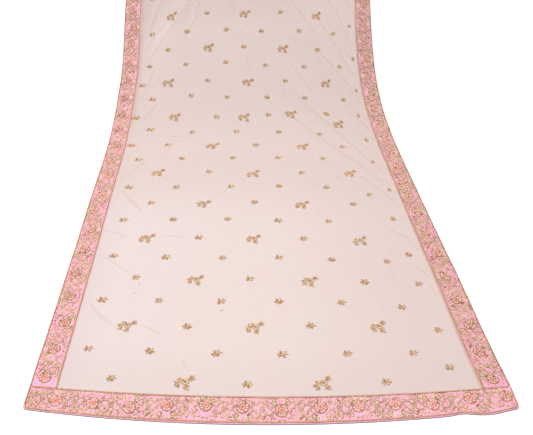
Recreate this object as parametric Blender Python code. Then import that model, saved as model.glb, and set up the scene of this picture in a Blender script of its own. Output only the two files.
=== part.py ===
"""A dupatta stole of sheer net with embroidered satin borders, hung over a plain round rod.

The near half lies on the floor, the cloth then rises to the rod and its far end hangs behind it.
Lengths are in metres, +Z is up, +X runs along the rod and +Y leads from the near end to the far one.
The origin is the middle of the rod's axis. A place on the cloth is told by its motif column and
motif row: the embroidered sprigs stand COLUMN apart across the cloth and ROW apart along it.
"""
import math
from bisect import bisect_left
from bisect import bisect_right
from collections import namedtuple

import bmesh
import bpy
import numpy as np
from mathutils import Vector

# Driving dimensions.
COLUMN = 0.138            # pitch of the sprigs across the cloth
ROW = 0.1387              # pitch of the sprigs along the cloth
BORDER = 0.0566           # width of the four satin borders
NET_WALL = 0.0010
BORDER_WALL = 0.0018
SEAM = 0.0003             # clear gap between neighbouring pieces
LAST_ROW = 15.0           # sprig rows run from 0 near the floor end to this one
MARGIN_ROWS = 0.205       # from the first or last sprig row to the end border
ROD_RADIUS = 0.012
ROD_LENGTH = 1.06
ROD_CHAMFER = 0.0015
ROD_SIDES = 24
ROD_CLEARANCE = 0.0006    # between the rod and the arc that the cloth lies on
WRAP_ROW = 14.155         # the cloth meets the rod here
FLOOR_ROW = 5.875         # the cloth lies flat on the floor up to here
EDGING_WIDTH = 0.0036     # corded gold line along both edges of a border
EDGING_LIFT = 0.0010
INNER_MARGIN = 0.0020     # satin between the inner gold line and the border's inner edge
HEM_MARGIN = 0.0027       # satin between the outer gold line and the hem, on the end borders
CORNER_RADIUS = 0.0080    # the cloth's four corners
GRID_STEP = 0.25          # mesh spacing on the net, in columns and rows
CLOSEST_LINE = 0.05       # no mesh line stands nearer to an end line than this
WRAP_STEPS = 6

# Columns of the net's two long edges where it lies unstretched, and the evenly spaced stretch.
FIELD_LEFT = -2.77
FIELD_RIGHT = 3.37
EVEN_LEFT = -2.0
EVEN_RIGHT = 2.0

# How the cloth lies at a few rows. Across it, in columns from one line along the floor: its outer
# edges, the line of sprig column 0, and how closely the columns are gathered. Along it, in rows: how
# far its left edge, its middle and its right edge have drifted towards the far end.
Section = namedtuple("Section", "row left centre gather right drift_left drift_middle drift_right")
SECTIONS = (
    Section(-0.62, -3.42, -0.25, 1.000, 3.54, 0.17, -0.06, 0.18),
    Section(-0.20, -3.43, -0.25, 1.000, 3.52, 0.13, -0.042, 0.125),
    Section(0.0, -3.44, -0.25, 1.000, 3.50, 0.12, -0.055, 0.07),
    Section(0.5, -3.45, -0.25, 1.000, 3.45, 0.085, -0.05, 0.00),
    Section(1.0, -3.46, -0.25, 0.998, 3.41, 0.01, -0.05, -0.11),
    Section(2.0, -3.49, -0.28, 0.990, 3.33, 0.00, -0.04, -0.15),
    Section(3.0, -3.52, -0.28, 0.990, 3.23, -0.03, -0.04, -0.14),
    Section(4.0, -3.56, -0.29, 1.000, 3.13, -0.03, -0.03, -0.10),
    Section(5.5, -3.60, -0.27, 1.010, 2.99, -0.03, -0.02, -0.05),
    Section(6.5, -3.64, -0.26, 0.990, 2.90, -0.03, -0.01, -0.07),
    Section(7.5, -3.64, -0.45, 0.945, 2.77, -0.05, 0.05, -0.06),
    Section(8.5, -3.62, -0.54, 0.950, 2.69, -0.09, 0.02, -0.09),
    Section(10.0, -3.67, -0.59, 0.940, 2.68, -0.09, 0.04, -0.07),
    Section(12.0, -3.70, -0.56, 0.950, 2.74, 0.0, 0.0, 0.0),
    Section(14.2, -3.70, -0.54, 0.955, 2.80, 0.0, 0.0, 0.0),
    Section(15.7, -3.70, -0.54, 0.955, 2.80, 0.0, 0.0, 0.0),
)

# Waves of the near hem: at how many columns across, how far in rows and how widely it swings. They
# die away within the end border.
HemWave = namedtuple("HemWave", "across swing width")
HEM_WAVES = (
    HemWave(3.12, -0.035, 0.26),
    HemWave(2.72, 0.020, 0.13),
)

# Slope of the cloth in degrees where it rises from the floor to the rod.
Rise = namedtuple("Rise", "row slope")
RISES = (
    Rise(5.9, 0.0),
    Rise(6.5, 9.5),
    Rise(7.5, 23.0),
    Rise(8.5, 28.2),
    Rise(9.5, 31.8),
    Rise(11.0, 33.5),
    Rise(WRAP_ROW, 35.0),
)

# Main folds of the rising net: a soft ridge from one place to another, in columns and rows.
Fold = namedtuple("Fold", "column row to_column to_row height width")
FOLDS = (
    Fold(0.20, 12.6, 3.10, 6.9, 0.0045, 0.27),
    Fold(1.10, 12.9, 3.20, 8.6, 0.0045, 0.26),
    Fold(0.35, 9.0, 3.00, 5.6, 0.0040, 0.27),
    Fold(1.90, 13.2, 3.20, 10.3, 0.0040, 0.25),
    Fold(-1.00, 12.8, -2.30, 8.2, 0.0040, 0.26),
    Fold(-1.60, 13.0, -2.60, 9.6, 0.0040, 0.25),
    Fold(-0.35, 12.4, -0.60, 9.3, 0.0035, 0.25),
    Fold(-2.66, 13.4, -2.66, 7.4, -0.0035, 0.20),
)
FOLD_ENDS = 1.2           # rows over which a fold fades in and out

# Sprigs out of the even layout: small ones near the two long borders, and the middle row, where the
# layouts that start from the two ends meet. The even places that they stand in for stay empty.
Place = namedtuple("Place", "column row")
STRAY_SMALL = (
    Place(2.98, 0.22),
    Place(3.00, 1.00),
    Place(2.97, 1.98),
    Place(2.97, 2.67),
    Place(2.86, 3.59),
    Place(3.00, 4.46),
    Place(2.39, 4.29),
    Place(2.69, 5.37),
    Place(2.71, 6.18),
    Place(2.82, 7.00),
    Place(3.05, 7.75),
    Place(3.08, 8.69),
    Place(3.05, 9.65),
    Place(3.05, 10.62),
    Place(3.02, 11.60),
    Place(3.00, 12.58),
    Place(3.00, 13.55),
    Place(3.00, 14.60),
    Place(-2.64, 5.98),
    Place(-2.64, 6.94),
    Place(-2.63, 7.91),
    Place(-0.89, 6.97),
    Place(0.40, 7.04),
    Place(1.85, 7.02),
)
STRAY_LARGE = (
    Place(-1.92, 6.99),
    Place(-0.22, 6.97),
    Place(0.97, 7.08),
    Place(2.04, 6.71),
)
EMPTY_ROW = 7
EMPTY_PLACES = ((2.5, 3.5), (2.5, 4.5), (2.5, 5.5), (2.5, 6.5))

# Outlines in metres round a sprig's middle: how far across, and how far along the cloth.
Corner = namedtuple("Corner", "across along")
SMALL_SPRIG = (
    Corner(-0.0115, 0.000),
    Corner(-0.004, -0.0085),
    Corner(0.011, -0.006),
    Corner(0.0115, 0.006),
    Corner(-0.004, 0.0085),
)
LARGE_SPRIG = (
    Corner(-0.024, -0.003),
    Corner(-0.015, -0.013),
    Corner(0.003, -0.015),
    Corner(0.019, -0.022),
    Corner(0.016, -0.003),
    Corner(0.026, 0.018),
    Corner(0.012, 0.016),
    Corner(-0.004, 0.011),
    Corner(-0.018, 0.008),
)
FLOWER_RADIUS = 0.0130
FLOWER_SIDES = 8
FIRST_END_FLOWER = 0.0593 # from the near end's left corner
END_FLOWERS = 13
END_PITCH = 0.0736
FIRST_SIDE_FLOWER = 0.0270 # from the near end of a side border
SIDE_FLOWERS = 29

# A raised form is a pile of rings: each is the outline times a scale, lifted off the cloth.
Ring = namedtuple("Ring", "scale lift")
SPRIG_RINGS = (Ring(1.0, 0.0), Ring(0.72, 0.0012))
FLOWER_RINGS = (Ring(1.0, 0.0), Ring(0.86, 0.0010), Ring(0.0, 0.0022))

HEM_ROW = -MARGIN_ROWS - BORDER / ROW
END_ROW = LAST_ROW + MARGIN_ROWS + BORDER / ROW
REST_RADIUS = ROD_RADIUS + ROD_CLEARANCE
ARRIVAL = math.radians(RISES[-1].slope)
WRAP_LENGTH = REST_RADIUS * (ARRIVAL + math.pi / 2)
PROFILE_STEP = 0.0005


def read_table(table, name, row):
    """Read a table's column at any row, on a smooth curve through its entries."""
    rows = [entry.row for entry in table]
    values = [getattr(entry, name) for entry in table]
    if row <= rows[0]:
        return values[0]
    if row >= rows[-1]:
        return values[-1]
    after = bisect_right(rows, row)
    before = after - 1

    def tangent(index):
        low = max(index - 1, 0)
        high = min(index + 1, len(rows) - 1)
        return (values[high] - values[low]) / (rows[high] - rows[low])

    span = rows[after] - rows[before]
    t = (row - rows[before]) / span
    start = (1 + 2 * t) * (1 - t) ** 2 * values[before]
    end = t * t * (3 - 2 * t) * values[after]
    lean = t * (1 - t) ** 2 * tangent(before) - t * t * (1 - t) * tangent(after)
    return start + end + span * lean


def slope_at(arc):
    """Angle of the cloth's long profile, by the arc length from the near hem."""
    wrap_start = (WRAP_ROW - HEM_ROW) * ROW
    if arc < wrap_start:
        return math.radians(read_table(RISES, "slope", HEM_ROW + arc / ROW))
    return ARRIVAL - min((arc - wrap_start) / REST_RADIUS, ARRIVAL + math.pi / 2)


def long_profile():
    """Arc lengths and the Y, Z places of the underside at them, with the rod's axis at 0, 0."""
    arcs = np.arange(0.0, (END_ROW - HEM_ROW) * ROW + PROFILE_STEP, PROFILE_STEP)
    slopes = np.array([slope_at(arc + PROFILE_STEP / 2) for arc in arcs[:-1]])
    along = np.concatenate(([0.0], np.cumsum(np.cos(slopes)) * PROFILE_STEP))
    height = np.concatenate(([0.0], np.cumsum(np.sin(slopes)) * PROFILE_STEP))
    wrap_start = (WRAP_ROW - HEM_ROW) * ROW
    axis_along = np.interp(wrap_start, arcs, along) + REST_RADIUS * math.sin(ARRIVAL)
    axis_height = np.interp(wrap_start, arcs, height) - REST_RADIUS * math.cos(ARRIVAL)
    return arcs, along - axis_along, height - axis_height


ARCS, ALONG, HEIGHT = long_profile()
ROD_MIDDLE = (read_table(SECTIONS, "left", WRAP_ROW) + read_table(SECTIONS, "right", WRAP_ROW)) / 2


def smooth_step(t):
    t = min(max(t, 0.0), 1.0)
    return t * t * (3 - 2 * t)


def fold_height(column, row):
    """Height of the folds over the plain surface."""
    total = 0.0
    for fold in FOLDS:
        run = Vector((fold.to_column - fold.column, fold.to_row - fold.row))
        offset = Vector((column - fold.column, row - fold.row))
        share = offset.dot(run) / run.length_squared
        if not 0.0 < share < 1.0:
            continue
        aside = (offset - share * run).length / fold.width
        ends = run.length / FOLD_ENDS
        fade = smooth_step(share * ends) * smooth_step((1 - share) * ends)
        total += fold.height * fade * math.exp(-aside * aside)
    to_border = min(column - FIELD_LEFT, FIELD_RIGHT - column)
    on_rod = abs(row - WRAP_ROW) / FOLD_ENDS
    off_floor = (row - FLOOR_ROW) / FOLD_ENDS
    return total * smooth_step(to_border / 0.2) * smooth_step(on_rod) * smooth_step(off_floor)


def across_at(column, row):
    """Place of a sprig column across the cloth, in columns, with the net's slack eased out."""
    gather = read_table(SECTIONS, "gather", row)
    centre = read_table(SECTIONS, "centre", row)
    if EVEN_LEFT <= column <= EVEN_RIGHT:
        return centre + gather * column
    inset = (BORDER + SEAM) / COLUMN
    if column < EVEN_LEFT:
        start, stop = EVEN_LEFT, FIELD_LEFT
        edge = read_table(SECTIONS, "left", row) + inset
    else:
        start, stop = EVEN_RIGHT, FIELD_RIGHT
        edge = read_table(SECTIONS, "right", row) - inset
    span = edge - (centre + gather * start)
    share = (column - start) / (stop - start)
    lead = gather * (stop - start) / span
    return centre + gather * start + span * share * (lead + (1 - lead) * share)


def cloth_point(across, row, lift):
    """World point: across in columns from the floor line, lift square to the long profile."""
    left = read_table(SECTIONS, "left", row)
    right = read_table(SECTIONS, "right", row)
    aside = (2 * across - left - right) / (right - left)
    drift_left = read_table(SECTIONS, "drift_left", row)
    drift_middle = read_table(SECTIONS, "drift_middle", row)
    drift_right = read_table(SECTIONS, "drift_right", row)
    drift = drift_middle + (drift_right - drift_left) / 2 * aside
    drift += ((drift_left + drift_right) / 2 - drift_middle) * aside ** 2
    near_hem = smooth_step(1 - (row - HEM_ROW) * ROW / BORDER)
    for wave in HEM_WAVES:
        drift += wave.swing * near_hem * math.exp(-((across - wave.across) / wave.width) ** 2)
    arc = (row - HEM_ROW + drift) * ROW
    slope = slope_at(arc)
    y = np.interp(arc, ARCS, ALONG) + min(arc, 0.0) - lift * math.sin(slope)
    z = np.interp(arc, ARCS, HEIGHT) + lift * math.cos(slope)
    return Vector(((across - ROD_MIDDLE) * COLUMN, y, z))


def net_point(column, row, lift):
    return cloth_point(across_at(column, row), row, lift + fold_height(column, row))


def side_border_point(side, inward, row, lift):
    """A point of a side border: inward is its distance from the cloth's outer edge."""
    edge = read_table(SECTIONS, side, row)
    sense = 1 if side == "left" else -1
    return cloth_point(edge + sense * inward / COLUMN, row, lift)


def corner_cut(to_side):
    """How far a rounded corner cuts into the hem, at a distance from the side edge."""
    reach = max(0.0, 1 - to_side / CORNER_RADIUS)
    return CORNER_RADIUS * (1 - math.sqrt(1 - reach * reach))


def end_border_point(near, inward, share, lift):
    """A point of an end border: inward from its hem, share from the left edge to the right."""
    row = HEM_ROW if near else END_ROW
    left = read_table(SECTIONS, "left", row)
    right = read_table(SECTIONS, "right", row)
    to_side = min(share, 1 - share) * (right - left) * COLUMN
    inward += corner_cut(to_side) * (1 - inward / BORDER)
    row = HEM_ROW + inward / ROW if near else END_ROW - inward / ROW
    left = read_table(SECTIONS, "left", row)
    right = read_table(SECTIONS, "right", row)
    return cloth_point(left + share * (right - left), row, lift)


def wrap_rows():
    """Extra mesh rows round the rod."""
    return [WRAP_ROW + WRAP_LENGTH / ROW * step / WRAP_STEPS for step in range(WRAP_STEPS + 1)]


def grid_lines(low, high, step, extra=()):
    """Mesh lines from low to high: the ends, those half a step off the even places, and extras."""
    inner = np.arange(math.floor(low / step) + 0.5, high / step) * step
    between = [float(line) for line in inner if low + CLOSEST_LINE < line < high - CLOSEST_LINE]
    return sorted([low, high] + between + list(extra))


class Sheet:
    """A closed wall over a grid of lines, with raised forms let into its outer face."""

    def __init__(self, name, across, along, place, top, floor_line=None):
        self.name = name
        self.across = across
        self.along = along
        self.place = place
        self.top = top
        self.floor_line = floor_line
        self.mesh = bmesh.new()
        self.corners = {}
        self.covered = set()

    def corner(self, i, j, outer):
        """The mesh vertex at a crossing of two lines, made when it is first wanted."""
        if (i, j, outer) not in self.corners:
            lift = self.top(self.across[i]) if outer else 0.0
            point = self.place(self.across[i], self.along[j], lift)
            self.corners[i, j, outer] = self.mesh.verts.new(point)
        return self.corners[i, j, outer]

    def raise_form(self, across, along, outline, rings, unit):
        """Let an outline into the outer face and lift its rings. unit turns metres into lines."""
        def ring(scale):
            return [(across + scale * spot.across / unit[0], along + scale * spot.along / unit[1])
                    for spot in outline]

        widest = ring(1.0)
        left = bisect_right(self.across, min(spot[0] for spot in widest)) - 1
        right = bisect_left(self.across, max(spot[0] for spot in widest))
        near = bisect_right(self.along, min(spot[1] for spot in widest)) - 1
        far = bisect_left(self.along, max(spot[1] for spot in widest))
        cells = {(i, j) for i in range(left, right) for j in range(near, far)}
        if left < 0 or near < 0 or right >= len(self.across) or far >= len(self.along):
            return False
        if cells & self.covered:
            return False
        self.covered |= cells
        frame = [(i, near) for i in range(left, right)]
        frame += [(right, j) for j in range(near, far)]
        frame += [(i, far) for i in range(right, left, -1)]
        frame += [(left, j) for j in range(far, near, -1)]
        outside = [((self.across[i], self.along[j]), self.corner(i, j, True)) for i, j in frame]
        for level in rings:
            lift = self.top(across) + level.lift
            if level.scale == 0.0:
                tip = self.mesh.verts.new(self.place(across, along, lift))
                for one, two in zip(outside, outside[1:] + outside[:1]):
                    self.mesh.faces.new((one[1], two[1], tip))
                return True
            inside = [(spot, self.mesh.verts.new(self.place(spot[0], spot[1], lift)))
                      for spot in ring(level.scale)]
            self.zip_rings((across, along), outside, inside)
            outside = inside
        self.mesh.faces.new([vertex for spot, vertex in outside])
        return True

    def zip_rings(self, middle, outside, inside):
        """Fill the band between two rings of points round a middle with triangles."""
        def turn(spot):
            return math.atan2(spot[1] - middle[1], spot[0] - middle[0]) % math.tau

        outside = sorted(outside, key=lambda item: turn(item[0]))
        inside = sorted(inside, key=lambda item: turn(item[0]))
        marks = [(turn(item[0]), "outside") for item in outside]
        marks += [(turn(item[0]), "inside") for item in inside]
        outer = outside[-1][1]
        inner = inside[-1][1]
        taken = {"outside": 0, "inside": 0}
        for _, which in sorted(marks):
            if which == "outside":
                following = outside[taken[which]][1]
                self.mesh.faces.new((outer, following, inner))
                outer = following
            else:
                following = inside[taken[which]][1]
                self.mesh.faces.new((outer, following, inner))
                inner = following
            taken[which] += 1

    def close(self, color, roughness):
        """Fill the faces that are left, the underside and the four edges, and make the object.

        Both faces of the wall are split along the same diagonals, so that it keeps its thickness.
        """
        last_i = len(self.across) - 1
        last_j = len(self.along) - 1
        floor_j = 0 if self.floor_line is None else self.along.index(self.floor_line)
        for i in range(last_i):
            for j in range(last_j):
                low, high = (i, j), (i + 1, j + 1)
                for half in ((low, (i + 1, j), high), (low, high, (i, j + 1))):
                    if (i, j) not in self.covered:
                        self.mesh.faces.new([self.corner(*spot, True) for spot in half])
                    if j >= floor_j:
                        self.mesh.faces.new([self.corner(*spot, False) for spot in reversed(half)])
        rim = [(i, 0) for i in range(last_i)]
        rim += [(last_i, j) for j in range(last_j)]
        rim += [(i, last_j) for i in range(last_i, 0, -1)]
        rim += [(0, j) for j in range(last_j, 0, -1)]
        for one, two in zip(rim, rim[1:] + rim[:1]):
            self.mesh.faces.new((self.corner(*one, False), self.corner(*two, False),
                                 self.corner(*two, True), self.corner(*one, True)))
        if floor_j:
            flat = [(i, 0) for i in range(last_i)]
            flat += [(last_i, j) for j in range(floor_j)]
            flat += [(i, floor_j) for i in range(last_i, 0, -1)]
            flat += [(0, j) for j in range(floor_j, 0, -1)]
            self.mesh.faces.new([self.corner(*spot, False) for spot in reversed(flat)])
        bmesh.ops.recalc_face_normals(self.mesh, faces=self.mesh.faces)
        return make_object(self.name, self.mesh, color, roughness)


def make_object(name, mesh, color, roughness, metallic=0.0):
    """Turn a bmesh into a named object with its own plain material."""
    data = bpy.data.meshes.new(name)
    mesh.to_mesh(data)
    mesh.free()
    data.set_sharp_from_angle(angle=math.radians(35))
    thing = bpy.data.objects.new(name, data)
    bpy.context.collection.objects.link(thing)
    material = bpy.data.materials.new(name)
    material.use_nodes = True
    shader = material.node_tree.nodes["Principled BSDF"]
    shader.inputs["Base Color"].default_value = (*color, 1.0)
    shader.inputs["Roughness"].default_value = roughness
    shader.inputs["Metallic"].default_value = metallic
    data.materials.append(material)
    return thing


def sprig_places():
    """Place and outline of every sprig: large and small ones by turns, and small ones between."""
    small = list(STRAY_SMALL)
    large = list(STRAY_LARGE)
    for row in range(int(LAST_ROW) + 1):
        turn = row if row < EMPTY_ROW else LAST_ROW - row
        if row != EMPTY_ROW:
            for column in range(-2, 3):
                (large if (column + turn) % 2 == 1 else small).append(Place(column, row))
        if row < LAST_ROW:
            small += [Place(column + 0.5, row + 0.5) for column in range(-3, 3)]
    small = [place for place in small if tuple(place) not in EMPTY_PLACES]
    return [(place, SMALL_SPRIG) for place in small] + [(place, LARGE_SPRIG) for place in large]


def border_lines(hem_margin):
    """Mesh lines across a border: its edges, and both sides and the crown of each gold line."""
    cord = (0.0, EDGING_WIDTH / 2, EDGING_WIDTH)
    outer = [hem_margin + part for part in cord]
    inner = [BORDER - INNER_MARGIN - part for part in reversed(cord)]
    return sorted({0.0, BORDER, *outer, *inner})


def border_top(hem_margin):
    """The lift of a border's outer face: satin, and the crown of each gold line."""
    crowns = (hem_margin + EDGING_WIDTH / 2, BORDER - INNER_MARGIN - EDGING_WIDTH / 2)

    def lift(inward):
        to_crown = min(abs(inward - crown) for crown in crowns)
        return BORDER_WALL + EDGING_LIFT * max(0.0, 1 - 2 * to_crown / EDGING_WIDTH)

    return lift


def flower_outline():
    turns = [math.tau * (step + 0.5) / FLOWER_SIDES for step in range(FLOWER_SIDES)]
    return [Corner(FLOWER_RADIUS * math.cos(turn), FLOWER_RADIUS * math.sin(turn)) for turn in turns]


def make_net_field():
    """The sheer net between the borders, with its raised sprigs."""
    rows = grid_lines(HEM_ROW + (BORDER + SEAM) / ROW, END_ROW - (BORDER + SEAM) / ROW,
                      GRID_STEP, wrap_rows())
    columns = grid_lines(FIELD_LEFT, FIELD_RIGHT, GRID_STEP)
    sheet = Sheet("net_field", columns, rows, net_point, lambda column: NET_WALL, FLOOR_ROW)
    for place, outline in sprig_places():
        sheet.raise_form(place.column, place.row, outline, SPRIG_RINGS, (COLUMN, ROW))
    return sheet.close((0.89, 0.76, 0.72), 0.7)


def flower_lines(flowers, pitch, low, high, extra=()):
    """Mesh lines along a border: one a quarter pitch to each side of every flower."""
    sides = [flower + sense * pitch / 4 for flower in flowers for sense in (-1, 1)]
    return sorted([low, high, *extra, *(side for side in sides if low < side < high)])


def make_side_border(name, side):
    """A satin strip down one long side, between the two end borders."""
    first = HEM_ROW + (BORDER + SEAM) / ROW
    last = END_ROW - (BORDER + SEAM) / ROW
    first_flower = first + FIRST_SIDE_FLOWER / ROW
    pitch = (last - first - 2 * FIRST_SIDE_FLOWER / ROW) / (SIDE_FLOWERS - 1)
    flowers = [first_flower + pitch * number for number in range(SIDE_FLOWERS)]
    wraps = wrap_rows()
    rows = flower_lines(flowers, pitch, first, last)
    floor_line = max(row for row in rows if row <= FLOOR_ROW)
    rows = sorted([row for row in rows if not wraps[0] < row < wraps[-1]] + wraps)

    def place(inward, row, lift):
        return side_border_point(side, inward, row, lift)

    sheet = Sheet(name, border_lines(0.0), rows, place, border_top(0.0), floor_line)
    for row in flowers:
        sheet.raise_form(BORDER / 2, row, flower_outline(), FLOWER_RINGS, (1.0, ROW))
    return sheet.close((0.93, 0.48, 0.66), 0.45)


def make_end_border(name, near):
    """A satin strip across one end, from corner to corner."""
    width = (SECTIONS[0].right - SECTIONS[0].left) * COLUMN
    flowers = [(FIRST_END_FLOWER + END_PITCH * number) / width for number in range(END_FLOWERS)]
    steps = [CORNER_RADIUS * (1 - math.cos(math.radians(angle))) / width for angle in (30, 60, 90)]
    corners = steps + [1 - step for step in steps]
    shares = flower_lines(flowers, END_PITCH / width, 0.0, 1.0, corners)

    def place(inward, share, lift):
        return end_border_point(near, inward, share, lift)

    floor_line = shares[-1] if near else None
    sheet = Sheet(name, border_lines(HEM_MARGIN), shares, place, border_top(HEM_MARGIN), floor_line)
    for share in flowers:
        sheet.raise_form(BORDER / 2, share, flower_outline(), FLOWER_RINGS, (1.0, width))
    return sheet.close((0.93, 0.48, 0.66), 0.45)


def make_rod():
    """The plain round rod that the cloth hangs over, along X through the origin."""
    mesh = bmesh.new()
    bmesh.ops.create_cone(mesh, cap_ends=True, segments=ROD_SIDES, radius1=ROD_RADIUS,
                          radius2=ROD_RADIUS, depth=ROD_LENGTH)
    ends = [edge for edge in mesh.edges if abs(edge.verts[0].co.z - edge.verts[1].co.z) < 1e-6]
    bmesh.ops.bevel(mesh, geom=ends, offset=ROD_CHAMFER, segments=1, affect='EDGES')
    rod = make_object("hanging_rod", mesh, (0.62, 0.45, 0.30), 0.5)
    rod.rotation_euler = (0.0, math.pi / 2, 0.0)
    return rod


def main():
    for thing in list(bpy.data.objects):
        bpy.data.objects.remove(thing, do_unlink=True)
    make_net_field()
    make_side_border("border_left", "left")
    make_side_border("border_right", "right")
    make_end_border("border_near_end", True)
    make_end_border("border_far_end", False)
    make_rod()


main()
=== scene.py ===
"""Visual model of a dupatta stole: sheer net, satin borders and zari embroidery, on a plain rod.

The cloth lies where the CAD solids lie. A place on it is told by its motif column and motif row, and
everything sewn on is drawn flat first, in metres on the cloth, and then laid over the same surface.
"""

import math
from collections import namedtuple

import bmesh
import bpy
import numpy as np
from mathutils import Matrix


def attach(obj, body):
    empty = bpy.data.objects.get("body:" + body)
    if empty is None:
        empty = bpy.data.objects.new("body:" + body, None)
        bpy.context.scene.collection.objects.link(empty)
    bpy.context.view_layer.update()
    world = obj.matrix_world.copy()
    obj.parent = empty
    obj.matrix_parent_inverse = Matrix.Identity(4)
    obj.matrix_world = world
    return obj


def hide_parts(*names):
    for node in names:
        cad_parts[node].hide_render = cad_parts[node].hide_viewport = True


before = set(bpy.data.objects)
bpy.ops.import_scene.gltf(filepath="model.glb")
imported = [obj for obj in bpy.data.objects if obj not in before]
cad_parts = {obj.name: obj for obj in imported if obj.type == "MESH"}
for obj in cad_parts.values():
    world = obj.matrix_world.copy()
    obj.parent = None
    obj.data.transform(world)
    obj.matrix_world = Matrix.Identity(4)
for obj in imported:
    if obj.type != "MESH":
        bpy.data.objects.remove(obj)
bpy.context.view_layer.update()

# The cloth's own sizes, as in the CAD source.
COLUMN = 0.138
ROW = 0.1387
BORDER = 0.0566
SEAM = 0.0003
LAST_ROW = 15.0
MARGIN_ROWS = 0.205
ROD_RADIUS = 0.012
ROD_CLEARANCE = 0.0006
WRAP_ROW = 14.155
FLOOR_ROW = 5.875
CORD_WIDTH = 0.0042
CORD_MARGIN = 0.0003
HEM_MARGIN = 0.0027
CORNER_RADIUS = 0.0080
FIELD_LEFT, FIELD_RIGHT = -2.77, 3.37
EVEN_LEFT, EVEN_RIGHT = -2.0, 2.0
END_PITCH = 0.0736
FIRST_SIDE_FLOWER = 0.0270
FOLD_ENDS = 1.2
PROFILE_STEP = 0.0005
EMPTY_ROW = 7

# Heights over the surface that the cloth lies on, and steps of the shells' grids.
NET_UNDER, NET_TOP = 0.0002, 0.0008
SATIN_UNDER, SATIN_TOP = 0.0002, 0.0016
GRID_STEP = 0.0092
WRAP_STEP = 0.0025

Section = namedtuple("Section", "row left centre gather right drift_left drift_middle drift_right")
SECTIONS = [Section(*numbers) for numbers in (
    (-0.62, -3.42, -0.25, 1.0, 3.54, 0.17, -0.06, 0.18),
    (-0.2, -3.43, -0.25, 1.0, 3.52, 0.13, -0.042, 0.125),
    (0.0, -3.44, -0.25, 1.0, 3.5, 0.12, -0.055, 0.07),
    (0.5, -3.45, -0.25, 1.0, 3.45, 0.085, -0.05, 0.0),
    (1.0, -3.46, -0.25, 0.998, 3.41, 0.01, -0.05, -0.11),
    (2.0, -3.49, -0.28, 0.99, 3.33, 0.0, -0.04, -0.15),
    (3.0, -3.52, -0.28, 0.99, 3.23, -0.03, -0.04, -0.14),
    (4.0, -3.56, -0.29, 1.0, 3.13, -0.03, -0.03, -0.1),
    (5.5, -3.6, -0.27, 1.01, 2.99, -0.03, -0.02, -0.05),
    (6.5, -3.64, -0.26, 0.99, 2.9, -0.03, -0.01, -0.07),
    (7.5, -3.64, -0.45, 0.945, 2.77, -0.05, 0.05, -0.06),
    (8.5, -3.62, -0.54, 0.95, 2.69, -0.09, 0.02, -0.09),
    (10.0, -3.67, -0.59, 0.94, 2.68, -0.09, 0.04, -0.07),
    (12.0, -3.7, -0.56, 0.95, 2.74, 0.0, 0.0, 0.0),
    (14.2, -3.7, -0.54, 0.955, 2.8, 0.0, 0.0, 0.0),
    (15.7, -3.7, -0.54, 0.955, 2.8, 0.0, 0.0, 0.0),
)]
HemWave = namedtuple("HemWave", "across swing width")
HEM_WAVES = (HemWave(3.12, -0.035, 0.26), HemWave(2.72, 0.020, 0.13))
Rise = namedtuple("Rise", "row slope")
RISES = (Rise(5.9, 0.0), Rise(6.5, 9.5), Rise(7.5, 23.0), Rise(8.5, 28.2), Rise(9.5, 31.8),
         Rise(11.0, 33.5), Rise(WRAP_ROW, 35.0))
Fold = namedtuple("Fold", "column row to_column to_row height width")
FOLDS = [Fold(*numbers) for numbers in (
    (0.2, 12.6, 3.1, 6.9, 0.0045, 0.27), (1.1, 12.9, 3.2, 8.6, 0.0045, 0.26),
    (0.35, 9.0, 3.0, 5.6, 0.004, 0.27), (1.9, 13.2, 3.2, 10.3, 0.004, 0.25),
    (-1.0, 12.8, -2.3, 8.2, 0.004, 0.26), (-1.6, 13.0, -2.6, 9.6, 0.004, 0.25),
    (-0.35, 12.4, -0.6, 9.3, 0.0035, 0.25), (-2.66, 13.4, -2.66, 7.4, -0.0035, 0.2),
)]

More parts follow.
